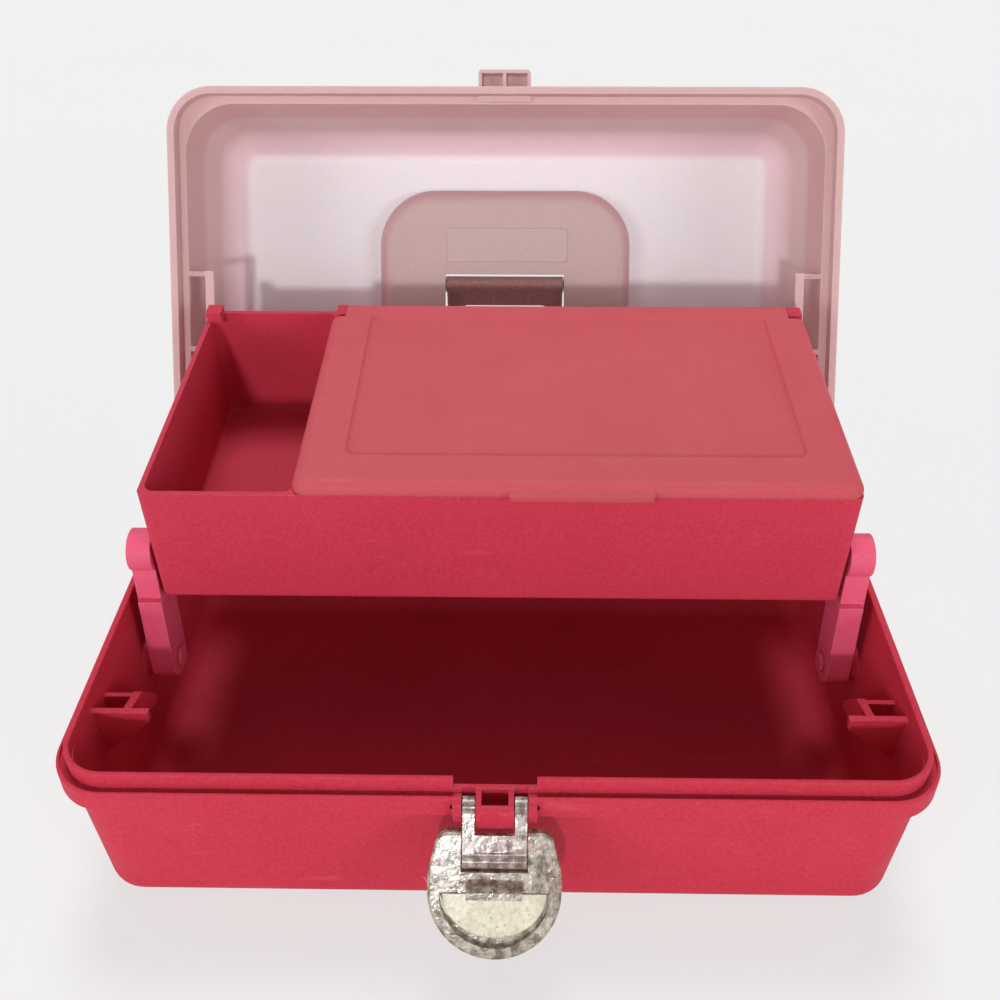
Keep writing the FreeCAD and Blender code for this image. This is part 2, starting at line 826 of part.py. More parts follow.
def make_lid():
    lid = new_body("lid_shell")
    step, wall, lean = S["lid_step"], S["lid_wall"], S["lid_lean"]
    dome_at = LID_RIM + S["groove_depth"]
    tall = LID_TOP - dome_at
    shift = (step - S["lid_rear_step"]) / 2
    middle = (ZERO, LID_MIDDLE[1] + shift)
    around = WIDTH - step * 2.0
    along = DEPTH - step - S["lid_rear_step"]
    corner = S["lid_corner"]
    dome = new_sketch(lid, "XY", dome_at)
    round_rectangle(dome, around, along, corner, middle)
    pad(lid, dome, tall, lean=-lean)
    cavity = new_sketch(lid, "XY", dome_at)
    inner = corner - wall
    round_rectangle(cavity, around - wall * 2.0, along - wall * 2.0, inner, middle)
    deep = tall - wall
    pocket(lid, cavity, deep, back=True, lean=-(lean * deep / tall))
    roof = LID_TOP - wall
    round_edges(lid, edges(lid, lambda box: level(box, roof)), S["lid_roof_round"] - wall)
    round_edges(lid, edges(lid, lambda box: level(box, LID_TOP)), S["lid_roof_round"])

    rim, skirt = S["rim_corner"], S["skirt_thick"]
    ring_at = (around - wall, along - wall)
    shelf = new_sketch(lid, "XY", dome_at)
    round_rectangle(shelf, *inset(ZERO), rim, LID_MIDDLE)
    round_rectangle(shelf, *ring_at, corner - wall / 2, middle)
    pad(lid, shelf, S["lid_band"] - S["groove_depth"])
    skirt_sketch = new_sketch(lid, "XY", LID_RIM)
    round_rectangle(skirt_sketch, *inset(ZERO), rim, LID_MIDDLE)
    round_rectangle(skirt_sketch, *inset(skirt), rim - skirt, LID_MIDDLE)
    pad(lid, skirt_sketch, S["groove_depth"])
    band_top = LID_RIM + S["lid_band"]
    centre = LID_MIDDLE[1]
    for height in (LID_RIM, band_top):
        found = edges(lid, lambda box: on_outline(box, height, centre))
        round_edges(lid, found, S["lid_band_round"])

    make_handle_pan(lid)
    make_catch(lid)
    make_brackets(lid)
    make_lid_knuckles(lid)
    place(lid, HINGE, OPEN)
    return lid


def make_handle_pan(lid):
    """The recess in the roof for the folded handle, its window and the handle's lugs."""
    wall = S["lid_wall"]
    middle = (ZERO, PAN_MIDDLE)
    boss = new_sketch(lid, "XY", LID_TOP - wall / 2)
    wide, tall = S["pan_width"], S["pan_length"]
    corner = S["pan_corner"]
    round_rectangle(boss, wide + wall * 2.0, tall + wall * 2.0, corner + wall, middle)
    pad(lid, boss, S["pan_depth"] + wall / 2, back=True)
    pan = new_sketch(lid, "XY", LID_TOP)
    round_rectangle(pan, wide, tall, corner, middle)
    pocket(lid, pan, S["pan_depth"])
    round_edges(lid, edges(lid, lambda box: level(box, PAN_FLOOR)), S["pan_round"] - wall)
    underside = PAN_FLOOR - wall
    round_edges(lid, edges(lid, lambda box: level(box, underside)), S["pan_round"])
    window = new_sketch(lid, "XY", PAN_FLOOR)
    half_wide = S["window_width"] / 2
    window_front = HANDLE_ON_LID[0] - S["barrel_radius"] - S["window_gap"]
    low = (-half_wide, window_front)
    rectangle(window, low, (half_wide, window_front + S["window_length"]))
    pocket(lid, window, wall)

    radius = S["handle_lug_radius"]
    features = []
    lug = new_sketch(lid, "YZ", half_wide)
    front, back = HANDLE_ON_LID[0] - radius, HANDLE_ON_LID[0] + radius
    deep = PAN_FLOOR - wall / 2
    axis = HANDLE_ON_LID[1]
    outline(lug, [(front, deep), (back, deep), (back, axis), (front, axis)], arcs=(2,))
    features.append(pad(lid, lug, S["handle_lug"]))
    bore = new_sketch(lid, "YZ", half_wide)
    circle(bore, HANDLE_ON_LID, S["handle_pin_radius"] + S["seat_clearance"])
    features.append(pocket(lid, bore, S["handle_lug"], back=True))
    mirror(lid, features)


def make_catch(lid):
    """The lug on the front of the lid that the latch hooks over, with two hollow cells."""
    half = S["catch_half"]
    low = LID_RIM + S["catch_rise"]
    rear = LID_FRONT + S["lid_step"] + S["lid_wall"] / 2
    lug = new_sketch(lid, "XY", low)
    rectangle(lug, (-half, LID_FRONT - S["catch_out"]), (half, rear))
    pad(lid, lug, S["catch_tall"])
    round_edges(lid, edges(lid, lambda box: is_lug_corner(box, half, low)), S["catch_round"])
    wall = S["catch_wall"]
    cells = new_sketch(lid, "XY", low)
    front, back = LID_FRONT - S["catch_out"] + wall, LID_FRONT - wall / 2
    rectangle(cells, (wall / 2, front), (half - wall, back))
    rectangle(cells, (wall - half, front), (-wall / 2, back))
    pocket(lid, cells, S["catch_cell"], back=True)


def is_lug_corner(box, half, low):
    """Whether an edge is one of the lug's upright front corners."""
    at_side = near(box.XMin, box.XMax) and near(max(box.XMax, -box.XMin), half)
    at_front = near(box.YMin, box.YMax) and near(box.YMin, LID_FRONT - S["catch_out"])
    return at_side and at_front and near(box.ZMin, low)


def make_brackets(lid):
    """On each side: the bracket beside the tray, and the lug that the tray hangs from."""
    inner = ARM_INNER + S["side_gap"]
    start = ZERO - S["bracket_start"]
    end = ZERO - S["bracket_end"]
    low = LID_RIM + S["bracket_rise"]
    high = low + S["bracket_tall"]
    shelf = LID_RIM + S["groove_depth"]
    bar = new_sketch(lid, "YZ", inner)
    rectangle(bar, (end, low), (start, high))
    features = [pad(lid, bar, S["bracket_thick"])]
    legs = new_sketch(lid, "YZ", inner + S["bracket_thick"] / 2)
    leg = S["bracket_leg"]
    rectangle(legs, (end, shelf), (end + leg, high))
    rectangle(legs, (start - leg, shelf), (start, high))
    legs_out = lid_wall_middle((shelf + high) / 2)
    features.append(pad(lid, legs, legs_out - inner - S["bracket_thick"] / 2))

    radius, thick = S["swing_lug_radius"], S["swing_lug_thick"]
    face = TRAY_SIDE + S["swing_lug_gap"]
    y, z = LIFT_ON_LID
    top = z + S["swing_bridge_rise"] + S["swing_bridge_tall"]
    lug = new_sketch(lid, "YZ", face)
    outline(lug, [(y - radius, z), (y + radius, z), (y + radius, top), (y - radius, top)], arcs=(0,))
    features.append(pad(lid, lug, thick))
    bridge = new_sketch(lid, "YZ", face + thick / 2)
    rectangle(bridge, (y - radius, top - S["swing_bridge_tall"]), (y + radius, top))
    bridge_out = lid_wall_middle(top - S["swing_bridge_tall"] / 2)
    features.append(pad(lid, bridge, bridge_out - face - thick / 2))
    bore = new_sketch(lid, "YZ", face)
    circle(bore, LIFT_ON_LID, S["swing_pin_radius"] + S["seat_clearance"])
    features.append(pocket(lid, bore, thick, back=True))
    mirror(lid, features)


def make_lid_knuckles(lid):
    start = S["hinge_offset"] - S["lid_knuckle_width"] / 2
    knuckle = new_sketch(lid, "YZ", start)
    circle(knuckle, (ZERO, ZERO), S["knuckle_radius"])
    features = [pad(lid, knuckle, S["lid_knuckle_width"])]
    web = new_sketch(lid, "YZ", start)
    back = ZERO - S["hinge_behind"] - S["edge_round"]
    outline(
        web,
        [
            (back, LID_RIM),
            (ZERO, LID_RIM),
            (S["knuckle_radius"] * WEB_LEAVES[0], S["knuckle_radius"] * WEB_LEAVES[1]),
            (ZERO - S["hinge_behind"] + S["edge_round"], LID_RIM + S["hinge_web"]),
            (back, LID_RIM + S["hinge_web"]),
        ],
    )
    features.append(pad(lid, web, S["lid_knuckle_width"]))
    bore = new_sketch(lid, "YZ", start)
    circle(bore, (ZERO, ZERO), S["hinge_pin_radius"] + S["running_clearance"])
    features.append(pocket(lid, bore, S["lid_knuckle_width"], back=True))
    mirror(lid, features)


# ---------------------------------------------------------------- the tray and its cover


def make_tray():
    """The tray, drawn level from the bottom of its front, with two compartments."""
    tray = new_body("tray")
    wall, floor = S["tray_wall"], S["tray_floor"]
    deep, tall, lean = S["tray_depth"], S["tray_height"], S["tray_rear_lean"]
    side = new_sketch(tray, "YZ")
    outline(side, [(ZERO, ZERO), (deep - lean, ZERO), (deep, tall), (ZERO, tall)])
    pad(tray, side, TRAY_SIDE * 2.0, middle=True)
    rear_corners = edges(tray, lambda box: is_upright(box, tall) and box.YMin > SMALL)
    round_edges(tray, rear_corners, S["tray_corner"])
    front_corners = edges(tray, lambda box: is_upright(box, tall) and level_y(box, ZERO))
    round_edges(tray, front_corners, S["tray_front_corner"])
    round_edges(tray, edges(tray, lambda box: level(box, ZERO)), S["tray_foot_round"])
    partition = -S["partition_offset"]
    ends = [
        (wall - TRAY_SIDE, partition - wall / 2),
        (partition + wall / 2, TRAY_SIDE - wall),
    ]
    for left, right in ends:
        inside = new_sketch(tray, "YZ", left)
        back_low = deep - lean - wall + lean * floor / tall
        outline(inside, [(wall, floor), (back_low, floor), (deep - wall, tall), (wall, tall)])
        pocket(tray, inside, right - left, back=True)
        inner = edges(tray, lambda box: is_inner_corner(box, left, right))
        round_edges(tray, inner, S["tray_corner"] - wall)
        found = edges(tray, lambda box: level(box, floor) and within(box, left, right))
        round_edges(tray, found, S["tray_floor_round"])

    ear = new_sketch(tray, "XY", tall - S["tray_wall"])
    ear_front = deep - S["ear_depth"]
    ear_in = TRAY_SIDE - S["ear_width"]
    ear_rear = deep - lean / 2
    rectangle(ear, (ear_in, ear_front), (TRAY_SIDE, ear_rear))
    rectangle(ear, (-TRAY_SIDE, ear_front), (-ear_in, ear_rear))
    pad(tray, ear, S["ear_height"] + S["tray_wall"])
    lug = new_sketch(tray, "XY", tall + S["ear_height"])
    lug_left = partition + wall / 2 - S["edge_round"]
    lug_right = LUG_FACE
    rectangle(lug, (lug_left, deep - wall / 2 - S["lug_depth"]), (lug_right, deep - wall / 2))
    pad(tray, lug, S["lug_drop"] + S["ear_height"], back=True)

    features = []
    bore = new_sketch(tray, "YZ", TRAY_SIDE)
    circle(bore, LIFT, S["swing_pin_radius"] + S["running_clearance"])
    features.append(pocket(tray, bore, S["swing_reach"] + S["swing_end_gap"]))
    socket = new_sketch(tray, "YZ", TRAY_SIDE)
    circle(socket, SOCKET, S["arm_pin_radius"] + S["side_gap"])
    features.append(pocket(tray, socket, wall * 0.6))
    mirror(tray, features)

    hinge = new_sketch(tray, "YZ", lug_left)
    circle(hinge, COVER_AXIS, S["cover_pin_radius"] + S["seat_clearance"])
    pocket(tray, hinge, TRAY_SIDE - lug_left, back=True)
    place(tray, TRAY, S["tray_tilt"])
    return tray


def is_upright(box, tall):
    """Whether an edge is one of the tray's outer corners, from top to bottom."""
    at_side = near(box.XMin, box.XMax) and near(max(box.XMax, -box.XMin), TRAY_SIDE)
    return at_side and near(box.ZMin, ZERO) and near(box.ZMax, tall)


def level_y(box, depth):
    """Whether an edge lies in the upright plane at a depth."""
    return near(box.YMin, depth) and near(box.YMax, depth)


def is_inner_corner(box, left, right):
    """Whether an edge is a corner between a compartment's walls."""
    tall = near(box.ZMin, S["tray_floor"]) and near(box.ZMax, S["tray_height"])
    return tall and near(box.XMin, box.XMax) and (near(box.XMin, left) or near(box.XMin, right))


def within(box, left, right):
    return box.XMin > number(left) - SMALL and box.XMax < number(right) + SMALL


# The cover lies on the tray's rim over the right compartment, and is drawn in its frame.
COVER_LOW = S["tray_height"] + S["cover_gap"]
COVER_TOP = COVER_LOW + S["cover_thick"]
COVER_AXIS = (S["tray_depth"] - S["cover_axis_back"], COVER_LOW + S["cover_thick"] / 2)
COVER_LEFT = ZERO - S["partition_offset"] - S["tray_wall"] / 2 - S["cover_overlap"]
COVER_RIGHT = TRAY_SIDE + S["cover_side"]
LUG_FACE = ZERO - S["partition_offset"] + S["tray_wall"] / 2 + S["lug_thick"]


def make_cover():
    cover = new_body("tray_cover")
    front = ZERO - S["cover_front"]
    rear = COVER_AXIS[0] + S["cover_rear"]
    cut = rear - S["lug_depth"] - S["cover_rear"] / 2
    left_in = LUG_FACE + S["side_gap"]
    right_in = TRAY_SIDE - S["ear_width"] - S["side_gap"]
    plan = new_sketch(cover, "XY", COVER_LOW)
    outline(
        plan,
        [
            (COVER_LEFT, front),
            (COVER_RIGHT, front),
            (COVER_RIGHT, cut),
            (right_in, cut),
            (right_in, rear),
            (left_in, rear),
            (left_in, cut),
            (COVER_LEFT, cut),
        ],
    )
    pad(cover, plan, S["cover_thick"])
    corners = edges(cover, lambda box: is_front_corner(box, front))
    round_edges(cover, corners, S["cover_corner"])
    turn_end = front + S["cover_corner"] + SMALL
    lip = edges(cover, lambda box: level(box, COVER_TOP) and box.YMax < number(turn_end))
    round_edges(cover, lip, S["cover_lip_round"])

    skirt = S["cover_skirt"]
    hollow_at = new_sketch(cover, "XY", COVER_LOW)
    under = S["cover_thick"] - S["cover_skin"]
    boss = S["cover_boss"]
    low_y = front + skirt
    outline(
        hollow_at,
        [
            (COVER_LEFT + skirt, low_y + S["cover_corner"] / 2),
            (COVER_LEFT + skirt + S["cover_corner"] / 2, low_y),
            (COVER_RIGHT - skirt - S["cover_corner"] / 2, low_y),
            (COVER_RIGHT - skirt, low_y + S["cover_corner"] / 2),
            (COVER_RIGHT - skirt, cut - skirt),
            (right_in - boss, cut - skirt),
            (right_in - boss, rear + S["edge_round"]),
            (left_in + boss, rear + S["edge_round"]),
            (left_in + boss, cut - skirt),
            (COVER_LEFT + skirt, cut - skirt),
        ],
    )
    pocket(cover, hollow_at, under, back=True)

    side = S["panel_side"]
    panel_wide = COVER_RIGHT - COVER_LEFT - side * 2.0
    panel_low, panel_high = front + S["panel_front"], rear - S["panel_rear"]
    panel = new_sketch(cover, "XY", COVER_TOP)
    middle = ((COVER_RIGHT + COVER_LEFT) / 2, (panel_low + panel_high) / 2)
    round_rectangle(panel, panel_wide, panel_high - panel_low, S["panel_corner"], middle)
    pocket(cover, panel, S["panel_sink"], lean=-S["panel_bevel"])

    tab = new_sketch(cover, "XY", COVER_LOW)
    low, high = (S["thumb_left"], front - S["thumb_out"]), (S["thumb_right"], front + skirt / 2)
    rectangle(tab, low, high)
    pad(cover, tab, S["thumb_thick"])
    tab_front = front - S["thumb_out"]
    tips = edges(cover, lambda box: is_front_corner(box, tab_front))
    round_edges(cover, tips, S["thumb_out"] / 2)

    hinge = new_sketch(cover, "YZ", left_in)
    circle(hinge, COVER_AXIS, S["cover_pin_radius"] + S["running_clearance"])
    pocket(cover, hinge, boss, back=True)
    hinge = new_sketch(cover, "YZ", right_in)
    circle(hinge, COVER_AXIS, S["cover_pin_radius"] + S["running_clearance"])
    pocket(cover, hinge, boss)
    place(cover, TRAY, S["tray_tilt"])
    return cover


def is_front_corner(box, front):
    """Whether an edge stands upright at the piece's front."""
    stands = near(box.XMin, box.XMax) and near(box.YMin, box.YMax)
    return stands and near(box.YMin, front) and near(box.ZMin, COVER_LOW)


# ---------------------------------------------------------------- the arms


def make_arm(name, side):
    """A channel-shaped arm, stepped half way up, drawn upright from its lower pivot."""
    arm = new_body(name)
    thick, step_in = S["arm_thick"], S["arm_step_in"]
    inner = ARM_INNER
    front, rear = ZERO - S["arm_shank_front"], S["arm_shank_rear"]
    foot, head = S["arm_foot_radius"], S["arm_head_radius"]
    step, top = S["arm_step_height"], S["arm_length"]
    shin_in = inner if side > 0 else ZERO - inner - thick
    thigh_in = inner + step_in if side > 0 else ZERO - inner - step_in - thick
    shin = new_sketch(arm, "YZ", shin_in)
    outline(shin, [(-foot, ZERO), (foot, ZERO), (foot, step), (-foot, step)], arcs=(0,))
    pad(arm, shin, thick)
    shank = new_sketch(arm, "YZ", thigh_in)
    low = step / 2
    outline(shank, [(front, low), (rear, low), (rear, top), (front, top)])
    pad(arm, shank, thick)
    round_head = new_sketch(arm, "YZ", thigh_in)
    circle(round_head, (ZERO, top), head)
    pad(arm, round_head, thick)

    rim, web = S["arm_rim"], S["arm_web"]
    core_at = inner + step_in + thick if side > 0 else ZERO - inner - step_in - thick
    deep = thick - web
    core = new_sketch(arm, "YZ", core_at)
    rectangle(core, (front + rim, foot), (rear - rim, top - head + rim))
    pocket(arm, core, deep, back=side < 0)

    for centre, radius in (((ZERO, ZERO), "running_clearance"), ((ZERO, top), "seat_clearance")):
        bore = new_sketch(arm, "YZ")
        circle(bore, centre, S["arm_pin_radius"] + S[radius])
        pocket(arm, bore, HALF_WIDTH, back=side > 0)
    place(arm, ARM_PIVOT, -S["arm_open_lean"])
    return arm


# ---------------------------------------------------------------- the handle


def make_handle():
    """The folding handle, drawn lying in its recess with its barrel along X."""
    handle = new_body("handle")
    half_barrel = S["window_width"] / 2 - S["side_gap"]
    half_span = S["handle_span"] / 2
    reach, bar, arm = S["handle_reach"], S["handle_bar"], S["handle_arm"]
    neck = S["handle_neck"]
    plan = new_sketch(handle, "XY", ZERO - S["barrel_rise"] + S["side_gap"])
    shoulder = reach - bar
    outline(
        plan,
        [
            (-half_barrel, ZERO),
            (half_barrel, ZERO),
            (half_barrel, neck),
            (half_span, shoulder),
            (half_span, reach),
            (-half_span, reach),
            (-half_span, shoulder),
            (-half_barrel, neck),
        ],
    )
    pad(handle, plan, S["handle_thick"])
    outer = edges(handle, lambda box: is_thickness(box) and box.YMax > number(neck))
    round_edges(handle, outer, S["handle_bar"] / 2 - S["edge_round"])
    grip = new_sketch(handle, "XY", ZERO - S["barrel_rise"] + S["side_gap"])
    inner_low = S["barrel_radius"] + S["handle_neck"] / 2
    outline(
        grip,
        [
            (arm - half_barrel, inner_low),
            (half_barrel - arm, inner_low),
            (half_span - arm, shoulder),
            (arm - half_span, shoulder),
        ],
    )
    pocket(handle, grip, S["handle_thick"], back=True)
    side = number(half_span - arm) + SMALL
    hole = edges(handle, lambda box: is_thickness(box) and abs(box.XMax) < side)
    round_edges(handle, hole, S["handle_round"])
    arm_wall = from_line(
        (half_barrel - arm, inner_low), (half_barrel, neck), (half_span, shoulder)
    )
    rims = edges(handle, lambda box: is_handle_rim(box))
    round_edges(handle, rims, smaller(S["handle_round"], arm_wall / 2 - SMALL))
    barrel = new_sketch(handle, "YZ")
    circle(barrel, (ZERO, ZERO), S["barrel_radius"])
    pad(handle, barrel, half_barrel * 2.0, middle=True)
    bore = new_sketch(handle, "YZ")
    circle(bore, (ZERO, ZERO), S["handle_pin_radius"] + S["running_clearance"])
    pocket(handle, bore, half_barrel * 2.0, middle=True)
    place(handle, plus(HINGE, turned(HANDLE_ON_LID, OPEN)), S["handle_hang"] - S["open_angle"])
    return handle


def is_thickness(box):
    """Whether an edge runs through the handle's thickness."""
    return near(box.ZMax - box.ZMin, S["handle_thick"])


def is_handle_rim(box):
    """Whether an edge bounds the handle's top or bottom, away from the barrel."""
    bottom = ZERO - S["barrel_rise"] + S["side_gap"]
    at_face = level(box, bottom) or level(box, bottom + S["handle_thick"])
    return at_face and box.YMin > number(S["barrel_radius"])


# ---------------------------------------------------------------- the latch


def make_link():
    """The latch's link: two arms and the bar that joins them, drawn hanging."""
    link = new_body("latch_link")
    inner = S["block_half"] + S["side_gap"]
    length, radius, half = S["link_length"], S["link_radius"], S["link_thick"] / 2
    features = []
    arm = new_sketch(link, "YZ", inner)
    outline(arm, [(-half, ZERO), (half, ZERO), (half, ZERO - length), (-half, ZERO - length)])
    features.append(pad(link, arm, S["link_arm"]))
    for centre in ((ZERO, ZERO), (ZERO, ZERO - length)):
        eye = new_sketch(link, "YZ", inner)
        circle(eye, centre, radius)
        features.append(pad(link, eye, S["link_arm"]))
    bar = new_sketch(link, "YZ")
    circle(bar, (ZERO, ZERO - length), radius)
    bar_length = (inner + S["link_arm"] / 2) * 2.0
    pad(link, bar, bar_length, middle=True)
    web = new_sketch(link, "YZ")
    half_web = S["link_web_thick"] / 2
    rectangle(web, (-half_web, ZERO - length), (half_web, S["link_web"] - length))
    pad(link, web, bar_length, middle=True)
    mirror(link, features)
    ends = (((ZERO, ZERO), "running_clearance"), ((ZERO, ZERO - length), "seat_clearance"))
    for centre, clear in ends:
        bore = new_sketch(link, "YZ")
        circle(bore, centre, S["latch_pin_radius"] + S[clear])
        pocket(link, bore, (inner + S["link_arm"]) * 2.0, middle=True)
    place(link, LATCH_PIVOT, -S["latch_hang"])
    return link


LEVER_PIVOT = plus(LATCH_PIVOT, turned((ZERO, ZERO - S["link_length"]), -S["latch_hang"]))


def make_lever():
    """The latch's lever: a thick D-shaped plate, drawn hanging from its pivot."""
    lever = new_body("latch_lever")
    thick, radius = S["lever_thick"], S["lever_width"] / 2
    shoulder, above = S["lever_shoulder"] / 2, S["lever_above"]
    round_at = radius - S["lever_below"]
    flare = S["lever_flare"]
    plan = new_sketch(lever, "XZ")
    outline(
        plan,
        [
            (-radius, round_at),
            (radius, round_at),
            (radius, round_at + flare),
            (shoulder, above),
            (-shoulder, above),
            (-radius, round_at + flare),
        ],
        arcs=(0,),
    )
    pad(lever, plan, thick, middle=True)
    shoulders = edges(lever, lambda box: is_shoulder(box, thick, round_at))
    round_edges(lever, shoulders, S["lever_shoulder_round"])
    round_edges(lever, edges(lever, lambda box: is_lever_rim(box, thick)), S["edge_round"])
    notch = new_sketch(lever, "XZ")
    open_half = S["block_half"] + S["side_gap"] * 2.0 + S["link_arm"]
    notch_low = ZERO - S["link_radius"] - S["side_gap"] * 1.5
    rectangle(notch, (-open_half, notch_low), (open_half, above))
    pocket(lever, notch, thick, middle=True)

    rim = S["lever_rim"]
    inner = radius - rim
    panel_top = ZERO - S["hook_below"] - S["hook_thick"]
    panel = new_sketch(lever, "XZ", thick / 2)
    outline(
        panel,
        [(-inner, round_at), (inner, round_at), (inner, panel_top), (-inner, panel_top)],
        arcs=(0,),
    )
    pocket(lever, panel, S["lever_sink"])
    hook = new_sketch(lever, "XZ", thick / 2 - S["edge_round"])
    half = S["hook_half"]
    rectangle(hook, (-half, panel_top), (half, ZERO - S["hook_below"]))
    pad(lever, hook, S["hook_reach"] + S["edge_round"])
    bore = new_sketch(lever, "YZ")
    circle(bore, (ZERO, ZERO), S["latch_pin_radius"] + S["running_clearance"])
    pocket(lever, bore, S["lever_pin_out"] * 2.0, middle=True)
    place(lever, LEVER_PIVOT, -S["latch_hang"])
    return lever


def is_shoulder(box, thick, round_at):
    """Whether an edge runs through the lever's thickness above its round end."""
    return near(box.YMax - box.YMin, thick) and box.ZMin > number(round_at) + SMALL


def is_lever_rim(box, thick):
    """Whether an edge bounds the lever's front or back face."""
    return near(box.YMin, box.YMax) and near(max(box.YMax, -box.YMin), thick / 2)


# ---------------------------------------------------------------- the pins


def make_pins():
    pins = []
    half = S["hinge_pin_length"] / 2
    offset = S["hinge_offset"]
    boss_face = ARM_INNER + S["arm_thick"] + S["side_gap"]
    seat = wall_middle(S["arm_pivot_z"])
    head_out = S["arm_pin_head_thick"]
    swing_in = TRAY_SIDE - S["swing_reach"]
    swing_out = TRAY_SIDE + S["swing_lug_gap"] + S["swing_lug_thick"]
    handle_out = S["window_width"] / 2 + S["handle_lug"]
    handle_in = S["window_width"] / 2 - S["handle_pin_grip"]
    handle_at = plus(HINGE, turned(HANDLE_ON_LID, OPEN))
    arm_outer = ARM_INNER + S["arm_step_in"] + S["arm_web"]
    for word, side in (("left", -1), ("right", 1)):
        start = offset - half if side > 0 else ZERO - offset - half
        hinge_pin = rod(start, half * 2.0, HINGE, S["hinge_pin_radius"])
        pins.append(grouped(f"{word}_lid_hinge_pin", [hinge_pin]))
        shaft = side_rod(side, ARM_INNER - SMALL_GAP, seat, ARM_PIVOT, S["arm_pin_radius"])
        head_in = ARM_INNER - SMALL_GAP - head_out
        head = side_rod(side, head_in, ARM_INNER - SMALL_GAP, ARM_PIVOT, S["arm_pin_head"])
        pins.append(fused(f"{word}_arm_base_pin", [shaft, head]))
        tray_pin = side_rod(
            side, TRAY_SIDE + S["cover_gap"], arm_outer, ARM_TOP, S["arm_pin_radius"]
        )
        pins.append(grouped(f"{word}_arm_tray_pin", [tray_pin]))
        swing = side_rod(side, swing_in, swing_out, LIFT_PIVOT, S["swing_pin_radius"])
        pins.append(grouped(f"{word}_tray_swing_pin", [swing]))
        grip = side_rod(side, handle_in, handle_out, handle_at, S["handle_pin_radius"])
        pins.append(grouped(f"{word}_handle_pin", [grip]))

    cover_at = plus(TRAY, turned(COVER_AXIS, S["tray_tilt"]))
    radius = S["cover_pin_radius"]
    grip = S["cover_boss"] - S["edge_round"]
    left_start = LUG_FACE - S["lug_thick"]
    left_length = S["lug_thick"] + S["side_gap"] + grip
    right_in = TRAY_SIDE - S["ear_width"] - S["side_gap"] - grip
    pins.append(
        grouped(
            "cover_hinge_pins",
            [
                rod(left_start, left_length, cover_at, radius),
                rod(right_in, TRAY_SIDE - right_in, cover_at, radius),
            ],
        )
    )
    radius = S["latch_pin_radius"]
    inner, outer = S["block_hole_half"] + SMALL_GAP, S["bay_half"]
    sides = [side_rod(side, inner, outer, LATCH_PIVOT, radius) for side in (-1, 1)]
    pins.append(grouped("latch_base_pins", sides))
    inner = S["block_half"] + S["side_gap"] + SMALL_GAP
    outer = S["lever_pin_out"]
    sides = [side_rod(side, inner, outer, LEVER_PIVOT, radius) for side in (-1, 1)]
    pins.append(grouped("latch_lever_pins", sides))
    return pins


# ---------------------------------------------------------------- the whole case

pieces = [make_tub(), make_lid(), make_tray(), make_cover()]
pieces += [make_arm("left_front_arm", -1), make_arm("right_front_arm", 1)]
pieces += [make_handle(), make_link(), make_lever()]
pieces += make_pins()
doc.recompute()

for thing in doc.Objects:
    if "Invalid" in thing.State or "Error" in thing.State:
        raise RuntimeError(f"{thing.Name} failed: {thing.State}")
for piece in pieces:
    if piece.Shape.isNull() or not piece.Shape.isValid():
        raise RuntimeError(f"{piece.Label} has no valid shape")

os.makedirs("parts", exist_ok=True)
for piece in pieces:
    piece.Shape.exportStep(f"parts/{piece.Label}.step")
    print(piece.Label, len(piece.Shape.Solids), round(piece.Shape.Volume))
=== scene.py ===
"""Looks for the makeup case: moulded plastics, a clear latch, and a plain studio."""

import math

import bmesh
import bpy
from mathutils import Matrix, Vector


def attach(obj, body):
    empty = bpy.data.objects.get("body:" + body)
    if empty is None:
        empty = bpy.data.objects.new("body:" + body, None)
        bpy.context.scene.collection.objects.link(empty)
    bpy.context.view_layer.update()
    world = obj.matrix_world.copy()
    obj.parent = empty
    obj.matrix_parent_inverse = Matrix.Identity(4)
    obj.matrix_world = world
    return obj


MM = 0.001

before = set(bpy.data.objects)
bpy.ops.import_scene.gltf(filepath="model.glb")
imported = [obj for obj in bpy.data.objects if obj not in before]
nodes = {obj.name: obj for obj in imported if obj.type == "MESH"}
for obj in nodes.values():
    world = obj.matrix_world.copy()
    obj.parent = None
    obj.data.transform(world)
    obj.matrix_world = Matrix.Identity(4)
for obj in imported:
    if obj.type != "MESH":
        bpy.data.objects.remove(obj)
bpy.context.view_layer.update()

# ---------------------------------------------------------------- camera

IMAGE_SIDE = 1000
FOCAL_PIXELS = 1101.0
AXIS_PIXEL = (500, 440)
PITCH = math.radians(34.93)
YAW = math.radians(-1.03)
ROLL = math.radians(-0.21)
SENSOR = 36.0
CAMERA_PLACE = Vector((6.8, -343.7, 407.65)) * MM


def camera_axes():
    """The camera's right, up and forward directions."""
    forward = Vector(
        (
            math.sin(YAW) * math.cos(PITCH),
            math.cos(YAW) * math.cos(PITCH),
            -math.sin(PITCH),
        )
    )
    right = Vector((math.cos(YAW), -math.sin(YAW), 0))
    up = right.cross(forward)
    turned_right = right * math.cos(ROLL) + up * math.sin(ROLL)
    turned_up = up * math.cos(ROLL) - right * math.sin(ROLL)
    return turned_right, turned_up, forward


def make_camera():
    """The photograph's camera: a pinhole with its optical axis a little above the middle."""
    right, up, forward = camera_axes()
    data = bpy.data.cameras.new("photo_camera")
    data.sensor_width = SENSOR
    data.lens = SENSOR * FOCAL_PIXELS / IMAGE_SIDE
    data.shift_y = (AXIS_PIXEL[1] - IMAGE_SIDE / 2) / IMAGE_SIDE
    data.clip_start = 10 * MM
    camera = bpy.data.objects.new("photo_camera", data)
    bpy.context.scene.collection.objects.link(camera)
    axes = Matrix((right, up, -forward)).transposed().to_4x4()
    camera.matrix_world = Matrix.Translation(CAMERA_PLACE) @ axes
    bpy.context.scene.camera = camera


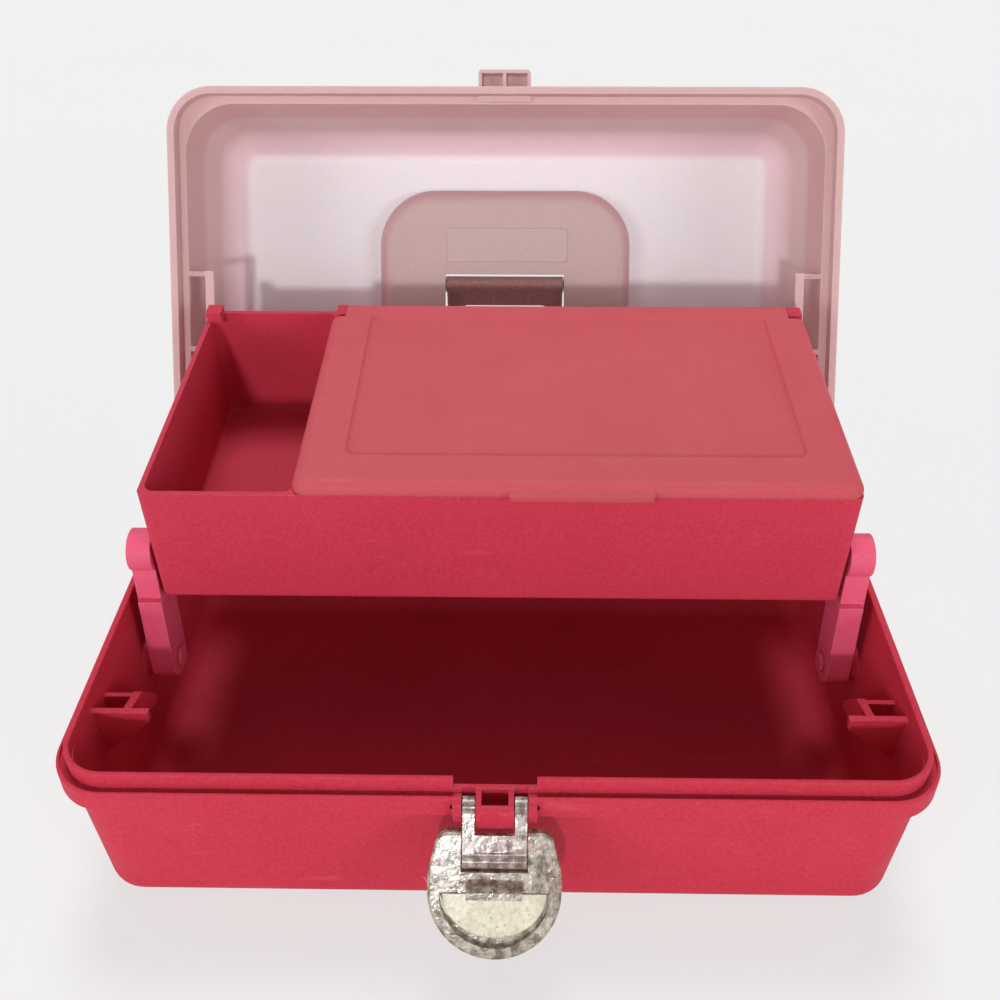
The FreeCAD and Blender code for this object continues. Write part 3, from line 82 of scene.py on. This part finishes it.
def on_plane(pixel, point, normal):
    """Where the line of sight through a pixel of the photograph meets a plane."""
    right, up, forward = camera_axes()
    across = (pixel[0] - AXIS_PIXEL[0]) / FOCAL_PIXELS
    down = (pixel[1] - AXIS_PIXEL[1]) / FOCAL_PIXELS
    sight = forward + right * across - up * down
    reach = (point - CAMERA_PLACE).dot(normal) / sight.dot(normal)
    return CAMERA_PLACE + sight * reach


# ---------------------------------------------------------------- flat faces of the CAD nodes


class Flat:
    """All the faces of a node that lie in one plane."""

    def __init__(self, mesh, normal):
        self.mesh = mesh
        self.normal = normal
        self.faces = []
        self.area = 0.0

    def add(self, face):
        self.faces.append(face)
        self.area += face.area

    @property
    def point(self):
        return self.mesh.vertices[self.faces[0].vertices[0]].co.copy()

    @property
    def level(self):
        return self.point.dot(self.normal)

    def reach(self, direction):
        """How far the flat goes in a direction."""
        corners = (self.mesh.vertices[index].co for face in self.faces for index in face.vertices)
        return max(corner.dot(direction) for corner in corners)


LEVEL_STEP = 0.05 * MM


def flats(name):
    """A node's flat regions, the largest first."""
    mesh = nodes[name].data
    found = {}
    for face in mesh.polygons:
        level = mesh.vertices[face.vertices[0]].co.dot(face.normal)
        key = (*(round(part, 2) for part in face.normal), round(level / LEVEL_STEP))
        if key not in found:
            found[key] = Flat(mesh, face.normal.copy())
        found[key].add(face)
    return sorted(found.values(), key=lambda flat: -flat.area)


def facing(found, direction, least=0.7):
    """Those of the flats that face a direction."""
    return [flat for flat in found if flat.normal.dot(direction) > least]


TO_VIEWER = Vector((0, -0.82, 0.57))

# The lid's inner roof is its largest flat that the viewer sees, and the handle's recess
# stands out of it by its depth.
lid_flats = facing(flats("lid_shell"), TO_VIEWER)
ROOF = lid_flats[0]
RECESS = next(
    flat
    for flat in lid_flats[1:]
    if flat.normal.dot(ROOF.normal) > 0.999 and 4 * MM < flat.level - ROOF.level < 14 * MM
)
# The lever's front face is hollowed in its lower part, and the panel lies in that hollow.
LEVER_HOLLOW = min(facing(flats("latch_lever"), TO_VIEWER, 0.9)[:2], key=lambda flat: flat.level)


# ---------------------------------------------------------------- material graphs


def linear(red, green, blue):
    """A colour given as 0 to 255 on a screen, as Blender's linear numbers."""
    parts = []
    for value in (red, green, blue):
        value /= 255
        low = value / 12.92
        high = ((value + 0.055) / 1.055) ** 2.4
        parts.append(low if value <= 0.04045 else high)
    return (*parts, 1.0)


class Graph:
    """A material's node tree, with short ways to add and join nodes."""

    def __init__(self, name):
        self.material = bpy.data.materials.new(name)
        self.material.use_nodes = True
        self.tree = self.material.node_tree
        self.tree.nodes.clear()
        self.output = self.tree.nodes.new("ShaderNodeOutputMaterial")
        place = self.tree.nodes.new("ShaderNodeTexCoord")
        self.place = place.outputs["Object"]
        self.normal = place.outputs["Normal"]

    def add(self, kind, **settings):
        node = self.tree.nodes.new(f"ShaderNode{kind}")
        for name, value in settings.items():
            setattr(node, name, value)
        return node

    def join(self, start, end):
        self.tree.links.new(start, end)

    def noise(self, size, detail=3.0, rough=0.5, stretch=None):
        """Noise whose features are about size metres across, longer where it is stretched."""
        node = self.add("TexNoise")
        node.inputs["Scale"].default_value = 1 / size
        node.inputs["Detail"].default_value = detail
        node.inputs["Roughness"].default_value = rough
        vector = self.place
        if stretch is not None:
            scale = self.add("VectorMath", operation="DIVIDE")
            self.join(self.place, scale.inputs[0])
            scale.inputs[1].default_value = stretch
            vector = scale.outputs["Vector"]
        self.join(vector, node.inputs["Vector"])
        return node.outputs["Fac"]

    def flecks(self, size, share):
        """Scattered round flecks, 1 inside them, in cells size metres across."""
        node = self.add("TexVoronoi")
        node.inputs["Scale"].default_value = 1 / size
        self.join(self.place, node.inputs["Vector"])
        return self.spread(node.outputs["Distance"], share, share * 0.6)

    def spread(self, value, low, high, to_low=0.0, to_high=1.0):
        """A value carried from one range to another."""
        node = self.add("MapRange")
        node.inputs["From Min"].default_value = low
        node.inputs["From Max"].default_value = high
        node.inputs["To Min"].default_value = to_low
        node.inputs["To Max"].default_value = to_high
        self.join(value, node.inputs["Value"])
        return node.outputs["Result"]

    def times(self, first, second):
        node = self.add("Math", operation="MULTIPLY")
        for socket, value in zip(node.inputs, (first, second)):
            if isinstance(value, bpy.types.NodeSocket):
                self.join(value, socket)
            else:
                socket.default_value = value
        return node.outputs[0]

    def along(self, vector, direction):
        """How far a vector goes along a direction of the object."""
        node = self.add("VectorMath", operation="DOT_PRODUCT")
        self.join(vector, node.inputs[0])
        node.inputs[1].default_value = direction
        return node.outputs["Value"]

    def blend(self, factor, first, second):
        """A colour between two, each a colour or a socket."""
        node = self.add("Mix", data_type="RGBA")
        self.join(factor, node.inputs[0])
        for socket, colour in ((node.inputs[6], first), (node.inputs[7], second)):
            if isinstance(colour, bpy.types.NodeSocket):
                self.join(colour, socket)
            else:
                socket.default_value = colour
        return node.outputs[2]

    def bump(self, height, depth, strength=1.0, before=None):
        node = self.add("Bump")
        node.inputs["Strength"].default_value = strength
        node.inputs["Distance"].default_value = depth
        self.join(height, node.inputs["Height"])
        if before is not None:
            self.join(before, node.inputs["Normal"])
        return node.outputs["Normal"]

    def finish(self, shader):
        self.join(shader.outputs[0], self.output.inputs["Surface"])
        return self.material


# ---------------------------------------------------------------- materials

# How far round a sharp edge the shading is softened and the painted edge highlight reaches.
EDGE_ROUNDING = 0.7 * MM
GLOW_DEPTH = 4 * MM


def edge_highlight_and_rounding(graph):
    """How near a point is to a sharp edge, from 0 to 1, the mask of the painted edge highlight, and the
    softened normal.
    """
    bevel = graph.add("Bevel", samples=4)
    bevel.inputs["Radius"].default_value = EDGE_ROUNDING
    shape = graph.add("NewGeometry")
    dot = graph.add("VectorMath", operation="DOT_PRODUCT")
    graph.join(bevel.outputs["Normal"], dot.inputs[0])
    graph.join(shape.outputs["Normal"], dot.inputs[1])
    edge = graph.spread(dot.outputs["Value"], 1.0, 0.75)
    return edge, bevel.outputs["Normal"]


def moulded(name, colour, deep, pale, rough=0.5, grain=0.5 * MM, relief=0.02 * MM, glow=0.0,
            shine=0.25, paint=None):
    """Moulded plastic: drifting colour, sharp edges painted pale as a painted highlight, hair scratches
    and a fine grain.
    """
    graph = Graph(name)
    drift = graph.spread(graph.noise(60 * MM, 2.0), 0.3, 0.7)
    body = graph.blend(drift, colour, deep)
    if paint is not None:
        body = paint(graph, body)
    mottle = graph.spread(graph.noise(1.4 * MM, 4.0, 0.7), 0.35, 0.75, 0.0, 0.16)
    body = graph.blend(mottle, body, pale)
    # Painted highlight: sharp edges are painted pale, broken up by noise.
    edge, soft = edge_highlight_and_rounding(graph)
    highlight_breakup = graph.spread(graph.noise(5 * MM, 3.0), 0.35, 0.65, 0.15, 0.7)
    body = graph.blend(graph.times(edge, highlight_breakup), body, pale)
    hair = graph.noise(0.7 * MM, 2.0, 0.5, stretch=(34, 1, 9))
    hair = graph.times(graph.spread(hair, 0.66, 0.72), graph.spread(graph.noise(30 * MM), 0.5, 0.6))
    body = graph.blend(graph.times(hair, 0.12), body, pale)
    shader = graph.add("BsdfPrincipled")
    graph.join(body, shader.inputs["Base Color"])
    smear = graph.noise(25 * MM, 4.0, 0.6)
    graph.join(graph.spread(smear, 0.3, 0.7, rough - 0.07, rough + 0.09), shader.inputs["Roughness"])
    shader.inputs["Specular IOR Level"].default_value = shine
    if glow:
        shader.inputs["Subsurface Weight"].default_value = glow
        shader.inputs["Subsurface Radius"].default_value = (1.0, 0.7, 0.7)
        shader.inputs["Subsurface Scale"].default_value = GLOW_DEPTH
    pits = graph.noise(grain, 5.0, 0.65)
    graph.join(graph.bump(pits, relief, 0.6, soft), shader.inputs["Normal"])
    return graph.finish(shader)


# The lid's plastic is milky. Its inner roof is painted greyer and paler than its walls, a painted sheen
# where the roof faces the light, with a fine weave in it;
# the bend round the roof is painted lighter and lilac, a painted highlight; the recess and the slope
# round it are painted darker.
LID_ROOF_PAINTED_SHEEN = linear(232, 229, 232)
LID_BEND_PAINTED_HIGHLIGHT = linear(222, 198, 206)
LID_RECESS = linear(194, 168, 165)
LID_SLOPE = linear(196, 156, 162)
LID_RIM = linear(207, 168, 167)
# How far the recess and the slope round it reach to each side, and up the roof.
ACROSS = Vector((1, 0, 0))
UP_ROOF = ROOF.normal.cross(ACROSS).normalized()
RECESS_SLOPE = 9 * MM
RECESS_SIDE = RECESS.reach(ACROSS) + RECESS_SLOPE
RECESS_TOP = RECESS.reach(UP_ROOF) + RECESS_SLOPE


def lid_paint(graph, body):
    """The lid's own colour, with a painted sheen on its inner roof, a painted highlight on the bend round
    it, and other colours at the handle's recess and the rim.
    """
    facing_out = graph.along(graph.normal, ROOF.normal)
    level = graph.along(graph.place, ROOF.normal)
    step = RECESS.level - ROOF.level
    inside = graph.spread(facing_out, -0.2, 0.1)
    aside = graph.add("Math", operation="ABSOLUTE")
    graph.join(graph.along(graph.place, ACROSS), aside.inputs[0])
    central = graph.times(
        graph.spread(aside.outputs[0], RECESS_SIDE + 1 * MM, RECESS_SIDE),
        graph.spread(graph.along(graph.place, UP_ROOF), RECESS_TOP + 1 * MM, RECESS_TOP),
    )
    rim = graph.spread(level, RECESS.level + step * 2, RECESS.level + step * 2.5)
    body = graph.blend(graph.times(inside, rim), body, LID_RIM)
    # Painted highlight: the walls near the roof are painted lighter and lilac along the bend.
    near_roof = graph.spread(level, ROOF.level + step * 1.5, ROOF.level)
    body = graph.blend(graph.times(inside, near_roof), body, LID_BEND_PAINTED_HIGHLIGHT)
    # Painted sheen: the roof's flat, which faces the light, is painted paler and greyer, with a fine
    # weave.
    flat = graph.spread(facing_out, 0.93, 0.999)
    weave = graph.spread(graph.noise(0.9 * MM, 2.0, 0.5, stretch=(3, 1, 1)), 0.3, 0.7, 0.8, 1.0)
    at_roof = graph.spread(level, ROOF.level + step * 0.3, ROOF.level + step * 0.1)
    body = graph.blend(graph.times(graph.times(flat, weave), at_roof), body, LID_ROOF_PAINTED_SHEEN)
    # The sides and the face of the handle's recess are painted darker than the lid's walls.
    above = graph.spread(level, ROOF.level + step * 0.04, ROOF.level + step * 0.16)
    below = graph.spread(level, RECESS.level + step * 0.4, RECESS.level + step * 0.1)
    face = graph.spread(level, RECESS.level - step * 0.12, RECESS.level - step * 0.01)
    stepped = graph.blend(face, LID_SLOPE, LID_RECESS)
    around_recess = graph.times(graph.times(above, below), graph.times(inside, central))
    return graph.blend(around_recess, body, stepped)


def clear_plastic(name, tint, pale, cloud, rough=0.08):
    """Clear plastic with faint flow lines, small bubbles and a milky share."""
    graph = Graph(name)
    shader = graph.add("BsdfPrincipled")
    shader.inputs["Transmission Weight"].default_value = 1.0 - cloud
    shader.inputs["IOR"].default_value = 1.49
    milk = graph.spread(graph.noise(3.5 * MM, 4.0, 0.7, stretch=(1, 1, 1.8)), 0.42, 0.6)
    body = graph.blend(milk, tint, pale)
    body = graph.blend(graph.flecks(1.6 * MM, 0.14), body, linear(130, 116, 98))
    streaks = graph.spread(graph.noise(1.3 * MM, 3.0, 0.6, stretch=(5, 1, 1)), 0.6, 0.7, 0.0, 0.6)
    body = graph.blend(streaks, body, linear(148, 134, 114))
    graph.join(body, shader.inputs["Base Color"])
    haze = graph.spread(graph.noise(6 * MM, 3.0), 0.35, 0.7, rough, rough * 3)
    graph.join(haze, shader.inputs["Roughness"])
    ripple = graph.noise(2.5 * MM, 4.0, 0.6)
    graph.join(graph.bump(ripple, 0.2 * MM, 0.6), shader.inputs["Normal"])
    return graph.finish(shader)


def speckled(name):
    """The cloudy beige face of the latch's lever, with flow marks and dark flecks."""
    graph = Graph(name)
    shader = graph.add("BsdfPrincipled")
    cloud = graph.spread(graph.noise(5 * MM, 4.0, 0.6), 0.3, 0.7)
    body = graph.blend(cloud, linear(216, 208, 184), linear(204, 196, 170))
    marks = graph.spread(graph.noise(1.6 * MM, 3.0, 0.6, stretch=(1, 1, 3)), 0.5, 0.66, 0.0, 0.6)
    body = graph.blend(marks, body, linear(170, 162, 136))
    body = graph.blend(graph.flecks(2.6 * MM, 0.16), body, linear(140, 128, 108))
    body = graph.blend(graph.flecks(1.9 * MM, 0.1), body, linear(250, 248, 240))
    graph.join(body, shader.inputs["Base Color"])
    graph.join(graph.spread(cloud, 0, 1, 0.25, 0.4), shader.inputs["Roughness"])
    graph.join(graph.bump(graph.noise(1.2 * MM, 4.0), 0.1 * MM, 0.6), shader.inputs["Normal"])
    return graph.finish(shader)


def steel(name):
    """Drawn wire, with fine lines along its length."""
    graph = Graph(name)
    shader = graph.add("BsdfPrincipled")
    shader.inputs["Metallic"].default_value = 1.0
    tarnish = graph.spread(graph.noise(3 * MM, 3.0), 0.35, 0.7)
    colour = graph.blend(tarnish, linear(196, 196, 198), linear(150, 147, 146))
    graph.join(colour, shader.inputs["Base Color"])
    lines = graph.noise(0.3 * MM, 2.0, 0.5, stretch=(20, 1, 1))
    graph.join(graph.spread(lines, 0.3, 0.7, 0.22, 0.42), shader.inputs["Roughness"])
    graph.join(graph.bump(lines, 0.01 * MM), shader.inputs["Normal"])
    return graph.finish(shader)


def chipped_black(name):
    """Black plastic pins whose ends are chipped to bare bright spots."""
    graph = Graph(name)
    shader = graph.add("BsdfPrincipled")
    chips = graph.flecks(1.5 * MM, 0.2)
    graph.join(graph.blend(chips, linear(30, 25, 25), linear(150, 140, 138)), shader.inputs["Base Color"])
    graph.join(graph.spread(graph.noise(1 * MM), 0.3, 0.7, 0.3, 0.5), shader.inputs["Roughness"])
    graph.join(graph.bump(graph.noise(0.6 * MM, 4.0), 0.05 * MM, 0.6), shader.inputs["Normal"])
    return graph.finish(shader)


CRIMSON_PALE = linear(234, 120, 140)
LID_WALL = linear(216, 190, 189)
LID_WALL_DEEP = linear(211, 182, 181)
# Painted shade: the handle is the lid's dusty pink, darkened to the shade it lies in behind the lid's
# window.
HANDLE_PINK_SHADED = linear(152, 106, 103)
HANDLE_PINK_DEEP_SHADED = linear(142, 96, 93)
LID_PALE = linear(238, 222, 223)

MATERIALS = {
    "tub": moulded(
        "tub_crimson",
        linear(194, 46, 68),
        linear(188, 42, 62),
        CRIMSON_PALE,
        rough=0.6,
        shine=0.12,
    ),
    "tray": moulded(
        "tray_crimson",
        linear(196, 50, 74),
        linear(190, 46, 69),
        CRIMSON_PALE,
        rough=0.6,
        shine=0.15,
    ),
    "cover": moulded(
        "cover_coral",
        linear(195, 77, 87),
        linear(190, 73, 83),
        linear(220, 116, 122),
        rough=0.58,
        relief=0.05 * MM,
    ),
    "lid": moulded(
        "lid_dusty_pink",
        LID_WALL,
        LID_WALL_DEEP,
        LID_PALE,
        rough=0.42,
        grain=0.8 * MM,
        relief=0.04 * MM,
        glow=0.4,
        paint=lid_paint,
    ),
    "handle": moulded("handle_pink_painted_shade", HANDLE_PINK_SHADED, HANDLE_PINK_DEEP_SHADED, LID_PALE, rough=0.4),
    "arm": moulded("arm_pink", linear(226, 84, 118), linear(220, 76, 108), linear(240, 160, 178)),
    "lever": clear_plastic("lever_clear", linear(124, 110, 90), linear(216, 207, 189), 0.55),
    "link": clear_plastic("link_clear", linear(150, 122, 112), linear(236, 228, 220), 0.5),
    "panel": speckled("lever_speckled"),
    "plate": moulded("lid_plate_pink", LID_RECESS, LID_RECESS, LID_PALE, rough=0.42),
    "black": chipped_black("pin_black"),
    "steel": steel("pin_steel"),
}

FINISHES = {
    "base_tub": "tub",
    "tray": "tray",
    "tray_cover": "cover",
    "lid_shell": "lid",
    "handle": "handle",
    "latch_lever": "lever",
    "latch_link": "link",
    "cover_hinge_pins": "steel",
    "left_lid_hinge_pin": "steel",
    "right_lid_hinge_pin": "steel",
    "latch_base_pins": "black",
    "latch_lever_pins": "black",
    "left_handle_pin": "black",
    "right_handle_pin": "black",
}


def dress_nodes():
    for name, node in nodes.items():
        node.data.materials.clear()
        node.data.materials.append(MATERIALS[FINISHES.get(name, "arm")])


# ---------------------------------------------------------------- pieces


def new_piece(name, shape, material, body):
    """Turns a bmesh into a piece that rides on a body."""
    mesh = bpy.data.meshes.new(name)
    bmesh.ops.recalc_face_normals(shape, faces=shape.faces)
    shape.to_mesh(mesh)
    shape.free()
    mesh.materials.append(material)
    piece = bpy.data.objects.new(name, mesh)
    bpy.context.scene.collection.objects.link(piece)
    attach(piece, body)
    return piece


def soften(shape, width, segments=3):
    """Rounds all the sharp edges of a bmesh."""
    sharp = [edge for edge in shape.edges if edge.calc_face_angle(0) > 0.6]
    bmesh.ops.bevel(
        shape, geom=sharp, offset=width, segments=segments, affect="EDGES", profile=0.5
    )


PANEL_INSET = 0.9 * MM
PANEL_THICK = 1.1 * MM
PANEL_GAP = 0.05 * MM
PANEL_SHARE = 0.8


def make_lever_panel():
    """The cloudy panel in the upper part of the hollow in the lever's face."""
    flat = LEVER_HOLLOW
    shape = bmesh.new()
    copies = {}
    for face in flat.faces:
        corners = []
        for index in face.vertices:
            if index not in copies:
                place = flat.mesh.vertices[index].co + flat.normal * PANEL_GAP
                copies[index] = shape.verts.new(place)
            corners.append(copies[index])
        shape.faces.new(corners)
    bmesh.ops.remove_doubles(shape, verts=shape.verts, dist=LEVEL_STEP / 5)
    bmesh.ops.dissolve_faces(shape, faces=shape.faces[:])
    across = Vector((1, 0, 0))
    up = flat.normal.cross(across).normalized()
    if up.z < 0:
        up = -up
    heights = [vert.co.dot(up) for vert in shape.verts]
    half = max(abs(vert.co.x) for vert in shape.verts)
    for vert in shape.verts:
        below = max(heights) - vert.co.dot(up)
        vert.co += up * (below * (1 - PANEL_SHARE) - PANEL_INSET)
        vert.co.x *= 1 - PANEL_INSET / half
    grown = bmesh.ops.extrude_face_region(shape, geom=shape.faces[:])
    raised = [part for part in grown["geom"] if isinstance(part, bmesh.types.BMVert)]
    bmesh.ops.translate(shape, verts=raised, vec=flat.normal * PANEL_THICK)
    soften(shape, PANEL_THICK * 0.4)
    return new_piece("latch_panel", shape, MATERIALS["panel"], "latch_lever")


PLATE_PIXELS = ((447, 228), (567, 262))
PLATE_RISE = 0.35 * MM
PLATE_CORNER = 1.6 * MM
CORNER_STEPS = 5


def rounded_outline(width, height, radius):
    """The corners of a rectangle with round corners, about its middle."""
    places = []
    for quarter in range(4):
        start = quarter * math.pi / 2
        middle = (
            (width / 2 - radius) * (1 if quarter in (0, 3) else -1),
            (height / 2 - radius) * (1 if quarter in (0, 1) else -1),
        )
        for step in range(CORNER_STEPS + 1):
            angle = start + step / CORNER_STEPS * math.pi / 2
            places.append(
                (middle[0] + radius * math.cos(angle), middle[1] + radius * math.sin(angle))
            )
    return places


def make_blank_plate():
    """The faint raised rectangle on the underside of the handle's recess, left blank."""
    low, high = (on_plane(pixel, RECESS.point, RECESS.normal) for pixel in PLATE_PIXELS)
    across = Vector((1, 0, 0))
    rise = RECESS.normal.cross(across).normalized()
    middle = (low + high) / 2
    width = abs((high - low).dot(across))
    height = abs((high - low).dot(rise))
    shape = bmesh.new()
    rings = []
    for level in (0.0, PLATE_RISE):
        ring = []
        for x, y in rounded_outline(width, height, PLATE_CORNER):
            ring.append(shape.verts.new(middle + across * x + rise * y + RECESS.normal * level))
        rings.append(ring)
    shape.faces.new(rings[1])
    for start, low_vert in enumerate(rings[0]):
        after = (start + 1) % len(rings[0])
        shape.faces.new((low_vert, rings[0][after], rings[1][after], rings[1][start]))
    shape.faces.new(rings[0][::-1])
    soften(shape, PLATE_RISE * 0.5)
    return new_piece("lid_blank_plate", shape, MATERIALS["plate"], "lid")


# ---------------------------------------------------------------- studio

FLOOR_SIDE = 12.0
FLOOR_PAPER = (linear(244, 244, 244), linear(242, 242, 242))
BACKDROP = linear(242, 242, 242)
# How much of the floor that is seen is the backdrop's own colour, without its shadow.
FLOOR_GLOW = 0.7
SKY = 0.3
# Each lamp: its height angle and its turn from straight behind the viewer, in degrees, its
# strength, and its softness in degrees.
SUNS = {
    "front": (18, -6, 1.0, 4),
    "front_left": (14, -52, 0.8, 24),
    "front_right": (14, 52, 0.8, 24),
    "top": (68, 180, 1.5, 22),
}


def seen_rays(tree):
    """1 for rays that show a surface to the camera, straight or by mirror or through glass."""
    rays = tree.nodes.new("ShaderNodeLightPath")
    total = None
    for name in ("Is Camera Ray", "Is Glossy Ray", "Is Transmission Ray"):
        if total is None:
            total = rays.outputs[name]
            continue
        larger = tree.nodes.new("ShaderNodeMath")
        larger.operation = "MAXIMUM"
        tree.links.new(total, larger.inputs[0])
        tree.links.new(rays.outputs[name], larger.inputs[1])
        total = larger.outputs[0]
    return total


def make_floor():
    mesh = bpy.data.meshes.new("floor")
    half = FLOOR_SIDE / 2
    mesh.from_pydata(
        [(-half, -half, 0), (half, -half, 0), (half, half, 0), (-half, half, 0)], [], [(0, 1, 2, 3)]
    )
    floor = bpy.data.objects.new("floor", mesh)
    bpy.context.scene.collection.objects.link(floor)
    graph = Graph("floor_paper")
    shader = graph.add("BsdfPrincipled")
    paper = graph.spread(graph.noise(300 * MM, 2.0), 0.3, 0.7)
    graph.join(graph.blend(paper, *FLOOR_PAPER), shader.inputs["Base Color"])
    shader.inputs["Roughness"].default_value = 0.9
    shader.inputs["Specular IOR Level"].default_value = 0.0
    glow = graph.add("Emission")
    glow.inputs["Color"].default_value = BACKDROP
    mix = graph.add("MixShader")
    graph.join(graph.times(seen_rays(graph.tree), FLOOR_GLOW), mix.inputs["Fac"])
    graph.join(shader.outputs[0], mix.inputs[1])
    graph.join(glow.outputs[0], mix.inputs[2])
    mesh.materials.append(graph.finish(mix))


def make_lamps():
    for name, (height, turn, strength, softness) in SUNS.items():
        data = bpy.data.lights.new(name, "SUN")
        data.energy = strength
        data.angle = math.radians(softness)
        lamp = bpy.data.objects.new(name, data)
        bpy.context.scene.collection.objects.link(lamp)
        height, turn = math.radians(height), math.radians(turn)
        to_lamp = Vector(
            (
                math.sin(turn) * math.cos(height),
                -math.cos(turn) * math.cos(height),
                math.sin(height),
            )
        )
        lamp.rotation_euler = (-to_lamp).to_track_quat("-Z", "Y").to_euler()


def make_world():
    world = bpy.data.worlds.new("studio")
    bpy.context.scene.world = world
    world.use_nodes = True
    tree = world.node_tree
    tree.nodes.clear()
    output = tree.nodes.new("ShaderNodeOutputWorld")
    sky = tree.nodes.new("ShaderNodeBackground")
    sky.inputs["Color"].default_value = (1, 1, 1, 1)
    sky.inputs["Strength"].default_value = SKY
    seen = tree.nodes.new("ShaderNodeBackground")
    seen.inputs["Color"].default_value = BACKDROP
    mix = tree.nodes.new("ShaderNodeMixShader")
    tree.links.new(seen_rays(tree), mix.inputs["Fac"])
    tree.links.new(sky.outputs[0], mix.inputs[1])
    tree.links.new(seen.outputs[0], mix.inputs[2])
    tree.links.new(mix.outputs[0], output.inputs["Surface"])


# ---------------------------------------------------------------- the scene

make_camera()
make_floor()
make_lamps()
make_world()
dress_nodes()
make_lever_panel()
make_blank_plate()
bpy.context.scene.view_settings.view_transform = "Standard"
